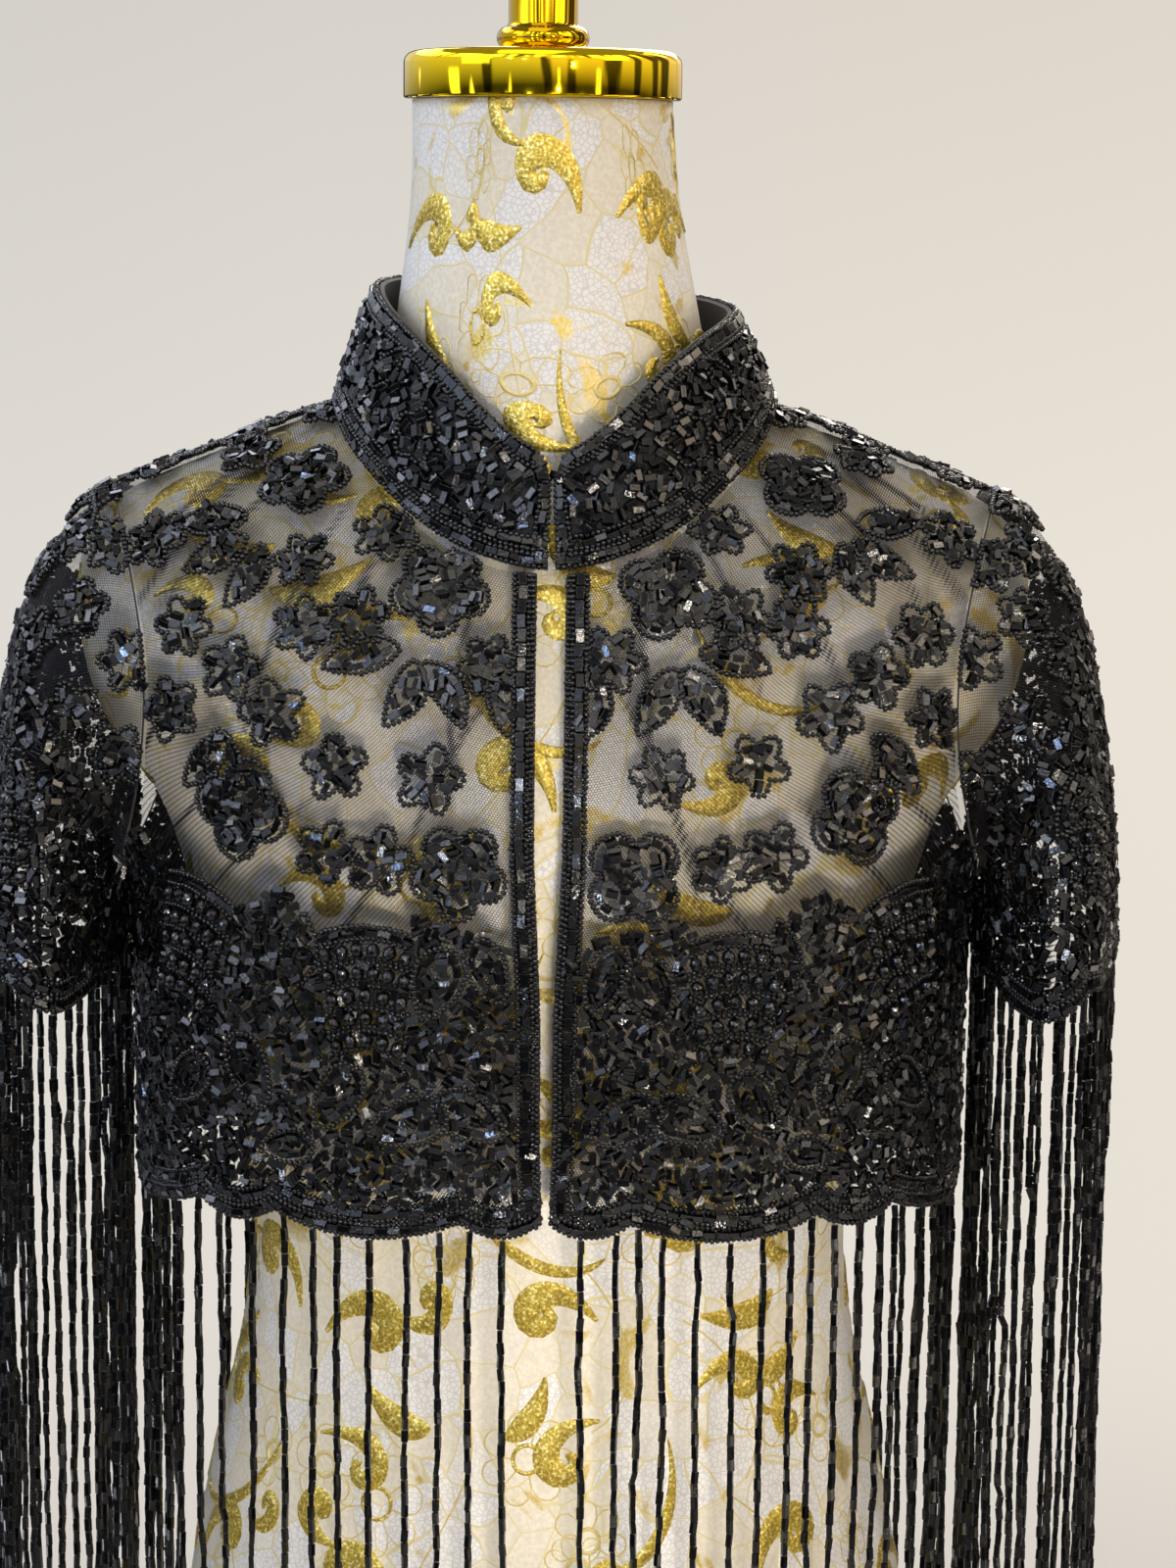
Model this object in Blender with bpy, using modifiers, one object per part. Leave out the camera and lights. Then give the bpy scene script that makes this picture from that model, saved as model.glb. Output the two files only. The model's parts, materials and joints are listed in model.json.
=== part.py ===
"""A beaded fringe capelet on a limbless dress form.

Metres, +Z up. The origin is the middle of the stand's underside. +X is the wearer's left and
-Y is the front. Places on the garment and the form are given as a drop below the underside
of the neck cap.
"""

import math
from collections import namedtuple

import bmesh
import bpy
import numpy as np

# Driving sizes
NECK_CAP_HEIGHT = 0.96
NET = 0.0015
COLLAR_CLOTH = 0.0022
SEAM = 0.0003
EDGE_BAND = 0.011
HEM_BORDER = 0.016
FRINGE_THICKNESS = 0.003
FRINGE_LENGTH = 0.40
FRINGE_GAP = 0.0009

# Neckline in plan
NECK_SIDE = 0.0940
NECK_FRONT = 0.0895
NECK_BACK = 0.083

# Armhole, from the tip of the shoulder to the underarm
SHOULDER_TIP = 0.190
UNDERARM_DROP = 0.330
ARMHOLE_INSET = 0.018

# Hem
HEM_DROP = 0.464
SCALLOP_DEPTH = 0.010
FRONT_SCALLOPS = (0.035, 0.083, 0.040, 0.095)
FRONT_SCALLOP_STEPS = (3, 4, 2, 4)
BACK_SCALLOPS = (0.040, 0.083, 0.040, 0.090)
BACK_SCALLOP_STEPS = (2, 4, 2, 4)

# Rows of a front or back, counted along its outer edge
SHOULDER_ROWS = 3
ARMHOLE_ROWS = 10
SIDE_ROWS = 4
LEVELLING_ROWS = 5
ROW_SWEEP = 50.0
ROW_SAMPLES = 41

BodyRing = namedtuple("BodyRing", "drop half_width front back front_power back_power")
BODY_RINGS = (
    BodyRing(0.126, 0.0720, 0.0120, 0.0760, 2.0, 1.7),
    BodyRing(0.132, 0.0955, 0.0220, 0.0830, 2.0, 1.7),
    BodyRing(0.137, 0.1110, 0.0310, 0.0845, 2.0, 1.7),
    BodyRing(0.144, 0.1310, 0.0410, 0.0865, 2.0, 1.7),
    BodyRing(0.153, 0.1520, 0.0520, 0.0890, 2.0, 1.7),
    BodyRing(0.163, 0.1800, 0.0630, 0.0920, 2.0, 1.8),
    BodyRing(0.171, 0.1970, 0.0700, 0.0945, 2.0, 1.9),
    BodyRing(0.182, 0.2090, 0.0790, 0.0970, 2.1, 2.0),
    BodyRing(0.195, 0.2145, 0.0890, 0.0995, 2.2, 2.1),
    BodyRing(0.212, 0.2160, 0.0980, 0.1020, 2.3, 2.2),
    BodyRing(0.240, 0.2130, 0.1095, 0.1045, 2.3, 2.3),
    BodyRing(0.280, 0.2000, 0.1200, 0.1065, 2.4, 2.4),
    BodyRing(0.320, 0.1865, 0.1265, 0.1080, 2.4, 2.4),
    BodyRing(0.335, 0.1835, 0.1275, 0.1084, 2.4, 2.4),
    BodyRing(0.380, 0.1815, 0.1255, 0.1075, 2.4, 2.4),
    BodyRing(0.420, 0.1810, 0.1225, 0.1060, 2.4, 2.4),
    BodyRing(0.480, 0.1810, 0.1205, 0.1050, 2.4, 2.4),
)

# How far each front edge stands from the middle
EdgeStation = namedtuple("EdgeStation", "drop from_middle")
FRONT_EDGE = (
    EdgeStation(0.190, 0.0060),
    EdgeStation(0.300, 0.0058),
    EdgeStation(0.340, 0.0042),
    EdgeStation(0.380, 0.0026),
    EdgeStation(0.440, 0.0024),
    EdgeStation(0.480, 0.0010),
)

# A sleeve ring runs over its top, round the front, under the arm and round the back
SleeveRing = namedtuple("SleeveRing", "along top_out top_drop under_out under_drop front back tilt")
SLEEVE_RINGS = (
    SleeveRing(0.00, 0.1905, 0.1675, 0.1885, 0.3300, 0.0755, 0.0715, 0.000),
    SleeveRing(0.14, 0.2085, 0.1735, 0.1885, 0.3360, 0.0690, 0.0650, 0.000),
    SleeveRing(0.28, 0.2205, 0.1915, 0.1895, 0.3420, 0.0740, 0.0700, 0.002),
    SleeveRing(0.48, 0.2310, 0.2240, 0.1905, 0.3500, 0.0820, 0.0780, 0.006),
    SleeveRing(0.70, 0.2385, 0.2680, 0.1915, 0.3560, 0.0875, 0.0835, 0.012),
    SleeveRing(0.86, 0.2430, 0.3060, 0.1920, 0.3600, 0.0905, 0.0865, 0.016),
    SleeveRing(1.00, 0.2455, 0.3440, 0.1925, 0.3640, 0.0900, 0.0860, 0.020),
)
SLEEVE_STATIONS = (0.0, 0.14, 0.28, 0.45, 0.62, 0.78)
SLEEVE_SCALLOPS = 5
SLEEVE_SCALLOP_DEPTH = 0.008

# Stand collar: the drop of its upper rim, by the angle round the neck from the middle of the front
CollarRim = namedtuple("CollarRim", "angle drop")
COLLAR_RIM = (
    CollarRim(1.5, 0.1570),
    CollarRim(3.5, 0.1490),
    CollarRim(7.0, 0.1435),
    CollarRim(11.0, 0.1405),
    CollarRim(21.0, 0.1300),
    CollarRim(38.0, 0.1100),
    CollarRim(60.0, 0.0945),
    CollarRim(90.0, 0.0850),
    CollarRim(135.0, 0.0810),
    CollarRim(180.0, 0.0800),
)
COLLAR_TOP_SIDE = 0.0745
COLLAR_TOP_FRONT = 0.079
COLLAR_TOP_BACK = 0.077
COLLAR_SWELL = 0.001
COLLAR_LEAN = 0.066
COLLAR_INSET = 0.001
COLLAR_END_ANGLE = 0.9
COLLAR_END_SLANT = 1.6
COLLAR_ANGLES = (0, 1.2, 3.5, 7, 12, 20, 30, 40, 50, 60, 72, 84, 96, 110, 125, 142, 160, 180)
COLLAR_ROWS = 4

# Hook and eye behind the foot of the collar
WIRE_RADIUS = 0.0003
HOOK_REACH = 0.0018
EYE_RADIUS = 0.0014
FASTENER_LENGTH = 0.006
FASTENER_UP = 0.12
FASTENER_ANGLE = 3.5

# Dress form
NeckRing = namedtuple("NeckRing", "drop half_width front back")
NECK_RINGS = (
    NeckRing(0.000, 0.0565, 0.0565, 0.0565),
    NeckRing(0.030, 0.0565, 0.0565, 0.0565),
    NeckRing(0.060, 0.0602, 0.0585, 0.0595),
    NeckRing(0.085, 0.0647, 0.0610, 0.0625),
    NeckRing(0.105, 0.0677, 0.0630, 0.0650),
    NeckRing(0.130, 0.0700, 0.0650, 0.0680),
    NeckRing(0.170, 0.0720, 0.0690, 0.0700),
    NeckRing(0.200, 0.0720, 0.0700, 0.0700),
)
TorsoRing = namedtuple("TorsoRing", "drop half_width front back power")
TORSO_RINGS = (
    TorsoRing(0.111, 0.0300, 0.005, 0.050, 2.0),
    TorsoRing(0.121, 0.0500, 0.009, 0.062, 1.9),
    TorsoRing(0.127, 0.0700, 0.012, 0.070, 1.8),
    TorsoRing(0.133, 0.0935, 0.018, 0.076, 1.7),
    TorsoRing(0.138, 0.1090, 0.026, 0.079, 1.65),
    TorsoRing(0.145, 0.1290, 0.036, 0.081, 1.65),
    TorsoRing(0.154, 0.1500, 0.047, 0.084, 1.65),
    TorsoRing(0.164, 0.1770, 0.058, 0.086, 1.75),
    TorsoRing(0.172, 0.1930, 0.065, 0.088, 1.85),
    TorsoRing(0.184, 0.2040, 0.074, 0.091, 2.0),
    TorsoRing(0.197, 0.2090, 0.083, 0.094, 2.1),
    TorsoRing(0.214, 0.2105, 0.092, 0.096, 2.2),
    TorsoRing(0.240, 0.2085, 0.102, 0.098, 2.2),
    TorsoRing(0.265, 0.2010, 0.109, 0.099, 2.2),
    TorsoRing(0.285, 0.1850, 0.114, 0.098, 2.2),
    TorsoRing(0.305, 0.1710, 0.117, 0.096, 2.3),
    TorsoRing(0.330, 0.1635, 0.117, 0.093, 2.3),
    TorsoRing(0.370, 0.1535, 0.110, 0.088, 2.2),
    TorsoRing(0.420, 0.1430, 0.099, 0.081, 2.1),
    TorsoRing(0.470, 0.1350, 0.090, 0.076, 2.1),
    TorsoRing(0.510, 0.1325, 0.087, 0.075, 2.1),
    TorsoRing(0.560, 0.1410, 0.091, 0.080, 2.1),
    TorsoRing(0.620, 0.1560, 0.098, 0.088, 2.1),
    TorsoRing(0.670, 0.1650, 0.103, 0.093, 2.1),
    TorsoRing(0.710, 0.1690, 0.105, 0.095, 2.1),
    TorsoRing(0.732, 0.1670, 0.103, 0.093, 2.1),
    TorsoRing(0.740, 0.1610, 0.098, 0.088, 2.1),
)
NECK_BLEND = 10.0
NECK_LEAN = -0.0066
NECK_LEAN_DROP = 0.19
FORM_SEGMENTS = 32

# Turned metal pieces
CAP_RADIUS = 0.0600
CAP_THICKNESS = 0.0205
CAP_ROUNDING = 0.006
STEM_RADIUS = 0.015
STEM_TOP = 0.030
WAIST_RADIUS = 0.0095
WAIST_HEIGHT = 0.004
RING_ROUNDING = 0.0052
BALL_RADIUS = 0.018
BALL_CENTRE = 0.052
POLE_RADIUS = 0.016
BASE_RADIUS = 0.17
BASE_THICKNESS = 0.014
BASE_ROUNDING = 0.005
BASE_HUB_RADIUS = 0.030
BASE_HUB_BEVEL = 0.004
BASE_HUB_HEIGHT = 0.022
TURNED_SEGMENTS = 32


def empty_the_scene():
    for thing in list(bpy.data.objects):
        bpy.data.objects.remove(thing, do_unlink=True)


def collection(name):
    made = bpy.data.collections.new(name)
    bpy.context.scene.collection.children.link(made)
    return made


def material(name, colour, roughness, metallic=0.0):
    made = bpy.data.materials.new(name)
    made.use_nodes = True
    shader = made.node_tree.nodes["Principled BSDF"]
    shader.inputs["Base Color"].default_value = (*colour, 1.0)
    shader.inputs["Roughness"].default_value = roughness
    shader.inputs["Metallic"].default_value = metallic
    return made


def smooth_line(stations, values):
    """A function through the given stations, with no overshoot between them."""
    xs, ys = np.array(stations, float), np.array(values, float)
    steps = np.diff(ys) / np.diff(xs)
    slopes = np.empty(len(xs))
    slopes[0], slopes[-1] = steps[0], steps[-1]
    for i in range(1, len(xs) - 1):
        before, after = steps[i - 1], steps[i]
        slopes[i] = 2 * before * after / (before + after) if before * after > 0 else 0.0

    def value(x):
        i = int(np.clip(np.searchsorted(xs, x) - 1, 0, len(xs) - 2))
        width = xs[i + 1] - xs[i]
        t = min(max((x - xs[i]) / width, 0.0), 1.0)
        start = (1 + 2 * t) * (1 - t) ** 2 * ys[i] + t * (1 - t) ** 2 * width * slopes[i]
        end = t * t * (3 - 2 * t) * ys[i + 1] - t * t * (1 - t) * width * slopes[i + 1]
        return start + end

    return value


def columns_of(table):
    """One smooth function for each column of a table, over its first column."""
    first = [row[0] for row in table]
    names = table[0]._fields[1:]
    return {name: smooth_line(first, [getattr(row, name) for row in table]) for name in names}


def find(condition, low, high):
    """Where a condition turns from false to true between low and high."""
    for _ in range(40):
        middle = (low + high) / 2
        low, high = (low, middle) if condition(middle) else (middle, high)
    return high


def blend(a, b, share):
    return a + (b - a) * share


def ease(t):
    t = min(max(t, 0.0), 1.0)
    return t * t * (3 - 2 * t)


def height(drop):
    return NECK_CAP_HEIGHT - drop


# ---- body cloth ----------------------------------------------------------------------------------

BODY = columns_of(BODY_RINGS)
EDGE = columns_of(FRONT_EDGE)["from_middle"]
SIDES = {"front": -1, "back": 1}


def body_point(face, drop, turn):
    """A point of the body cloth's inner side: turn runs from 0 in the middle to 1 at the side seam."""
    power = BODY[face + "_power"](drop)
    angle = turn * math.pi / 2
    x = BODY["half_width"](drop) * math.sin(angle) ** (2 / power)
    depth = BODY[face](drop) * math.cos(angle) ** (2 / power)
    return np.array((x, SIDES[face] * (depth + SEAM / 2), height(drop)))


def turn_at(face, drop, x):
    """How far round the ring at this drop the distance x from the middle lies."""
    share = min(x / BODY["half_width"](drop), 1.0)
    return math.asin(share ** (BODY[face + "_power"](drop) / 2)) * 2 / math.pi


def drop_under(face, x, depth):
    """The drop at which the body cloth passes through a place in plan."""

    def reached(drop):
        power = BODY[face + "_power"](drop)
        return (x / BODY["half_width"](drop)) ** power + (depth / BODY[face](drop)) ** power <= 1

    return find(reached, BODY_RINGS[0].drop, UNDERARM_DROP)


def neckline(face, share):
    """(drop, turn) of the neckline, from the middle of the face to the shoulder seam."""
    angle = share * math.pi / 2
    x = NECK_SIDE * math.sin(angle)
    depth = (NECK_FRONT if face == "front" else NECK_BACK) * math.cos(angle)
    drop = drop_under(face, x, depth)
    return drop, turn_at(face, drop, x)


def armhole(face, share):
    """(drop, turn) of the armhole edge, from the tip of the shoulder to the underarm."""
    angle = share * math.pi
    tip_drop = find(lambda drop: BODY["half_width"](drop) >= SHOULDER_TIP, 0.13, 0.20)
    drop = blend(tip_drop, UNDERARM_DROP, (1 - math.cos(angle)) / 2)
    underarm = BODY["half_width"](UNDERARM_DROP)
    x = blend(SHOULDER_TIP, underarm, (1 - math.cos(angle)) / 2) - ARMHOLE_INSET * math.sin(angle) ** 2
    turn = 1.0 if share in (0, 1) else turn_at(face, drop, x)
    return drop, turn


def outer_edge(face):
    """(drop, turn) where each row ends: along the shoulder seam, the armhole and the side seam."""
    stations = []
    for i in range(SHOULDER_ROWS):
        x = blend(NECK_SIDE, SHOULDER_TIP, i / SHOULDER_ROWS)
        stations.append((find(lambda drop: BODY["half_width"](drop) >= x, 0.126, 0.20), 1.0))
    stations += [armhole(face, i / ARMHOLE_ROWS) for i in range(ARMHOLE_ROWS + 1)]
    last = HEM_DROP - HEM_BORDER
    stations += [(blend(UNDERARM_DROP, last, (i + 1) / SIDE_ROWS), 1.0) for i in range(SIDE_ROWS)]
    stations.append((HEM_DROP, 1.0))
    return stations


def column_shares(scallops, steps):
    """Where the columns stand along the hem, with one at each notch, as shares of its length."""
    stops = [0.0]
    for width, count in zip(scallops, steps):
        for _ in range(count):
            stops.append(stops[-1] + width / count)
    return np.array(stops) / stops[-1]


def scallop(scallops, share):
    """How far the scalloped edge hangs below its notches at a share of the hem's length."""
    ends = np.concatenate([[0.0], np.cumsum(scallops)]) / sum(scallops)
    i = min(int(np.searchsorted(ends, share, side="right")) - 1, len(scallops) - 1)
    across = (share - ends[i]) / (ends[i + 1] - ends[i])
    widest = max(scallops)
    depth = SCALLOP_DEPTH * (0.55 + 0.45 * scallops[i] / widest)
    return depth * max(math.sin(math.pi * across), 0.0) ** 0.7


def along(points, distances):
    """Points at the given distances along a line of points."""
    lengths = np.concatenate([[0.0], np.cumsum(np.linalg.norm(np.diff(points, axis=0), axis=1))])
    return np.stack([np.interp(distances, lengths, points[:, k]) for k in range(3)], axis=1)


def row_line(face, row, middle_drop, end):
    """Points of the body cloth along one row, from the middle of the face to the row's end.

    The rows at the shoulder sweep round the neck in plan. The next few pass from that to the rings.
    """
    end_drop, end_turn = end
    start_turn = turn_at(face, middle_drop, EDGE(middle_drop)) if face == "front" else 0.0
    start, finish = body_point(face, middle_drop, start_turn), body_point(face, *end)
    sweep = math.radians(blend(90, ROW_SWEEP, min(row / SHOULDER_ROWS, 1)))
    level = ease((row - SHOULDER_ROWS) / LEVELLING_ROWS)
    line = []
    for share in np.linspace(0, 1, ROW_SAMPLES):
        drop, turn = blend(middle_drop, end_drop, share**2), blend(start_turn, end_turn, share)
        if level < 1:
            x = blend(start[0], finish[0], math.sin(share * sweep) / math.sin(sweep))
            swept = (math.cos(share * sweep) - math.cos(sweep)) / (1 - math.cos(sweep))
            y = blend(finish[1], start[1], swept)
            swept_drop = drop_under(face, x, abs(y) - SEAM / 2)
            drop = blend(swept_drop, drop, level)
            turn = blend(turn_at(face, swept_drop, x), turn, level)
        line.append(body_point(face, drop, turn))
    return np.array(line)


def half_panel(face):
    """The inner side of a front or of half the back: rows of points from its middle outwards."""
    if face == "front":
        scallops, steps = FRONT_SCALLOPS, FRONT_SCALLOP_STEPS
    else:
        scallops, steps = BACK_SCALLOPS, BACK_SCALLOP_STEPS
    shares = column_shares(scallops, steps)
    ends = outer_edge(face)
    neck_drop = drop_under(face, 0.0, NECK_FRONT if face == "front" else NECK_BACK)
    border_row = len(ends) - 2
    rows = []
    for row, end in enumerate(ends):
        middle_drop = blend(neck_drop, HEM_DROP - HEM_BORDER, row / border_row)
        line = row_line(face, row, min(middle_drop, HEM_DROP), end)
        length = np.linalg.norm(np.diff(line, axis=0), axis=1).sum()
        distances = shares * length
        if face == "front":
            rest = (shares[1:] - shares[1]) / (1 - shares[1])
            distances[1:] = blend(EDGE_BAND, length, rest)
        points = along(line, distances)
        if row >= border_row:
            points[:, 2] = [height(end[0]) - scallop(scallops, share) for share in shares]
        rows.append(points)
    return np.array(rows)


# ---- sleeves -------------------------------------------------------------------------------------

SLEEVE = columns_of(SLEEVE_RINGS)


def armhole_point(angle):
    """A point of the armhole at an angle from the tip of the shoulder round the front."""
    face = "front" if angle <= 180 else "back"
    share = (angle if angle <= 180 else 360 - angle) / 180
    return body_point(face, *armhole(face, share))


def sleeve_point(share, angle):
    """A point of the sleeve's inner side: share is 0 at the armhole and 1 at the hem."""
    ring = {name: value(share) for name, value in SLEEVE.items()}
    turned = math.radians(angle)
    up, side = (1 + math.cos(turned)) / 2, math.sin(turned)
    x = blend(ring["under_out"], ring["top_out"], up)
    drop = blend(ring["under_drop"], ring["top_drop"], up) + ring["tilt"] * side
    y = -side * (ring["front"] if side > 0 else ring["back"])
    free = np.array((x, y, height(drop)))
    seam = armhole_point(angle)
    under = ease((1 - math.cos(turned)) / 2) ** 2
    seam[0] += blend((3 + 3 * abs(side)) * SEAM, 2 * NET + 2 * SEAM, under)
    return blend(seam, free, ease(share / 0.4))


def sleeve_rings():
    angles = np.arange(2 * ARMHOLE_ROWS) * 180 / ARMHOLE_ROWS
    rings = [[sleeve_point(share, angle) for angle in angles] for share in SLEEVE_STATIONS]
    top, hem = [], []
    for angle in angles:
        point = sleeve_point(1.0, angle)
        wave = abs(math.sin(math.radians(angle) * SLEEVE_SCALLOPS / 2)) ** 0.7
        point[2] -= SLEEVE_SCALLOP_DEPTH * wave
        hem.append(point)
        top.append(point + sleeve_point(0.9, angle) - sleeve_point(1.0, angle))
    return np.array(rings + [top, hem])


# ---- building meshes -----------------------------------------------------------------------------


def mesh_object(name, vertices, faces, finish, home):
    mesh = bpy.data.meshes.new(name)
    mesh.from_pydata([tuple(v) for v in vertices], [], faces)
    mesh.shade_smooth()
    made = bpy.data.objects.new(name, mesh)
    made.data.materials.append(finish)
    home.objects.link(made)
    return made


def grid_faces(rows, columns, closed, flipped):
    faces = []
    for i in range(rows - 1):
        for j in range(columns if closed else columns - 1):
            a, b = i * columns + j, i * columns + (j + 1) % columns
            face = (a, b, b + columns, a + columns)
            faces.append(face[::-1] if flipped else face)
    return faces


def sheet(name, rows, finish, home, closed=False, flipped=False, thickness=NET):
    """A wall of cloth, thickened outwards from its inner side's rows of points."""
    count, columns = rows.shape[:2]
    faces = grid_faces(count, columns, closed, flipped)
    made = mesh_object(name, rows.reshape(-1, 3), faces, finish, home)
    wall = made.modifiers.new("cloth thickness", "SOLIDIFY")
    wall.thickness = thickness
    wall.offset = 1.0
    return made


def outward(panel, shape):
    """The outward direction at each point of a panel."""
    normals = np.empty(len(panel.data.vertices) * 3, np.float32)
    panel.data.vertices.foreach_get("normal", normals)
    return normals.reshape(*shape, 3).astype(float)


def turned(name, profile, finish, home, sideways=0.0):
    """A solid turned round an upright axis, from (radius, height) points down its outer side."""
    mesh = bpy.data.meshes.new(name)
    points = [(radius, 0.0, z) for radius, z in profile]
    mesh.from_pydata(points, [(i, i + 1) for i in range(len(points) - 1)], [])
    made = bpy.data.objects.new(name, mesh)
    made.data.materials.append(finish)
    home.objects.link(made)
    screw = made.modifiers.new("turning", "SCREW")
    screw.steps = screw.render_steps = TURNED_SEGMENTS
    screw.use_merge_vertices = True
    screw.merge_threshold = 0.00005
    made.location.x = sideways
    return made


def wire(name, points, radius, finish, home):
    curve = bpy.data.curves.new(name, "CURVE")
    curve.dimensions = "3D"
    curve.bevel_depth = radius
    curve.bevel_resolution = 1
    curve.use_fill_caps = True
    line = curve.splines.new("POLY")
    line.points.add(len(points) - 1)
    for point, place in zip(line.points, points):
        point.co = (*place, 1.0)
    curve.materials.append(finish)
    made = bpy.data.objects.new(name, curve)
    home.objects.link(made)
    return made


def arc(centre, radius, start, end, count):
    angles = np.radians(np.linspace(start, end, count))
    return [(centre[0] + radius * math.cos(a), centre[1] + radius * math.sin(a)) for a in angles]


# ---- garment -------------------------------------------------------------------------------------


def mirrored(rows):
    return rows * np.array((-1.0, 1.0, 1.0))


def fringe(name, hem, finish, home, closed=False, flipped=False):
    """The reach of a fringe: strands of one length, hung from a scalloped hem."""
    top = hem - np.array((0.0, 0.0, FRINGE_GAP))
    bottom = top - np.array((0.0, 0.0, FRINGE_LENGTH))
    return sheet(name, np.array([top, bottom]), finish, home, closed, flipped, FRINGE_THICKNESS)


def trim(name, panel, rows, picked, finish, home, closed=False, flipped=False):
    """A strip that lies on a panel: the picked part of its points, moved out past its cloth."""
    lifted = rows + outward(panel, rows.shape[:2]) * (NET + SEAM)
    return sheet(name, lifted[picked], finish, home, closed, flipped)


def fronts(net, beads, home):
    rows = half_panel("front")
    for side, points, flipped in (("left", rows, True), ("right", mirrored(rows), False)):
        panel = sheet("front_" + side, points, net, home, flipped=flipped)
        edge = (slice(0, -2), slice(0, 2))
        trim("front_edge_band_" + side, panel, points, edge, beads, home, flipped=flipped)
        border = (slice(-2, None), slice(None))
        trim("hem_border_front_" + side, panel, points, border, beads, home, flipped=flipped)
        fringe("fringe_front_" + side, points[-1], beads, home, flipped=flipped)


def back(net, beads, home):
    half = half_panel("back")
    rows = np.concatenate([half[:, :0:-1], mirrored(half)], axis=1)
    panel = sheet("back", rows, net, home, flipped=True)
    border = (slice(-2, None), slice(None))
    trim("hem_border_back", panel, rows, border, beads, home, flipped=True)
    fringe("fringe_back", rows[-1], beads, home, flipped=True)


def sleeves(net, beads, home):
    rings = sleeve_rings()
    for side, points, flipped in (("left", rings, False), ("right", mirrored(rings), True)):
        tube = sheet("sleeve_" + side, points, net, home, closed=True, flipped=flipped)
        border = (slice(-2, None), slice(None))
        trim("hem_border_sleeve_" + side, tube, points, border, beads, home, True, flipped)
        fringe("fringe_sleeve_" + side, points[-1], beads, home, True, flipped)


RIM = columns_of(COLLAR_RIM)["drop"]


def collar_point(side, angle, up):
    """A point of the collar's inner side: angle runs from 0 at the front to 180, up from 0 to 1."""
    end = COLLAR_END_ANGLE + COLLAR_END_SLANT * up
    turned_by = blend(end, 180, angle / 180)
    a = math.radians(turned_by)
    face = "front" if turned_by <= 90 else "back"
    share = (turned_by if turned_by <= 90 else 180 - turned_by) / 90
    foot_drop = neckline(face, share)[0] - NET - 2 * SEAM
    deep, top_deep = (NECK_FRONT, COLLAR_TOP_FRONT) if face == "front" else (NECK_BACK, COLLAR_TOP_BACK)
    swell = COLLAR_SWELL * math.sin(math.pi * up)
    x = side * (blend(NECK_SIDE - COLLAR_INSET, COLLAR_TOP_SIDE, up) + swell) * math.sin(a)
    y = -(blend(deep - COLLAR_INSET, top_deep, up) + swell) * math.cos(a)
    top_drop = RIM(turned_by) + COLLAR_LEAN * x * min(turned_by / 90, 1) ** 2
    return np.array((x, y, height(blend(foot_drop, top_drop, up))))


def collar(cloth, home):
    """One strip from the left end, round the back of the neck, to the right end."""
    stations = [(1, angle) for angle in COLLAR_ANGLES]
    stations += [(-1, angle) for angle in COLLAR_ANGLES[-2::-1]]
    levels = [row / COLLAR_ROWS for row in range(COLLAR_ROWS + 1)]
    rows = np.array([[collar_point(side, angle, up) for side, angle in stations] for up in levels])
    return sheet("collar", rows, cloth, home, thickness=COLLAR_CLOTH)


def hook_and_eye(metal, home):
    """Wire hook on the right end of the collar's foot, caught in a wire eye on the left end."""
    foot = collar_point(1, FASTENER_ANGLE, FASTENER_UP)
    level, back_of_foot = foot[2], foot[1] + 2 * WIRE_RADIUS
    bend = WIRE_RADIUS * 3
    turn = arc((HOOK_REACH, back_of_foot + bend), bend, -90, 90, 6)
    shank, bill = (-FASTENER_LENGTH, back_of_foot), (-WIRE_RADIUS * 2, back_of_foot + 2 * bend)
    hook = [(x, y, level) for x, y in (shank, *turn, bill)]
    wire("collar_hook", hook, WIRE_RADIUS, metal, home)
    loop = arc((EYE_RADIUS - WIRE_RADIUS, level), EYE_RADIUS, 90, 270, 8)
    ends = [(FASTENER_LENGTH, level + EYE_RADIUS), *loop, (FASTENER_LENGTH, level - EYE_RADIUS)]
    wire("collar_eye", [(x, back_of_foot + bend, z) for x, z in ends], WIRE_RADIUS, metal, home)


# ---- dress form and stand ------------------------------------------------------------------------

NECK = columns_of(NECK_RINGS)
TORSO = columns_of(TORSO_RINGS)
FORM_DROPS = (
    0.0, 0.03, 0.06, 0.08, 0.10, 0.115, 0.126, 0.132, 0.137, 0.142, 0.150, 0.160, 0.168, 0.180,
    0.192, 0.210, 0.235, 0.260, 0.280, 0.300, 0.325, 0.36, 0.41, 0.46, 0.51, 0.56, 0.61, 0.66,
    0.705, 0.730, 0.740,
)  # fmt: skip


def neck_lean(drop):
    """How far the neck stands to the side of the torso's middle."""
    return NECK_LEAN * max(1 - drop / NECK_LEAN_DROP, 0)


def form_point(drop, angle):
    """The form's surface: the ring of the neck or torso that lies further out, softly joined."""
    torso = {name: value(drop) for name, value in TORSO.items()}
    neck = {name: value(drop) for name, value in NECK.items()}
    face = "front" if math.cos(angle) >= 0 else "back"
    power = torso["power"]
    sine, cosine = abs(math.sin(angle)), abs(math.cos(angle))
    width, depth = max(torso["half_width"], neck["half_width"]), max(torso[face], neck[face])
    x, y = width * sine ** (2 / power), depth * cosine ** (2 / power)
    reach = math.hypot(x, y)
    x, y = x / reach, y / reach
    torso_reach = ((x / torso["half_width"]) ** power + (y / torso[face]) ** power) ** (-1 / power)
    neck_reach = ((x / neck["half_width"]) ** 2 + (y / neck[face]) ** 2) ** -0.5
    reach = (torso_reach**NECK_BLEND + neck_reach**NECK_BLEND) ** (1 / NECK_BLEND)
    x, y = math.copysign(x * reach, math.sin(angle)), -math.copysign(y * reach, math.cos(angle))
    return np.array((x + neck_lean(drop), y, height(drop)))


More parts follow.
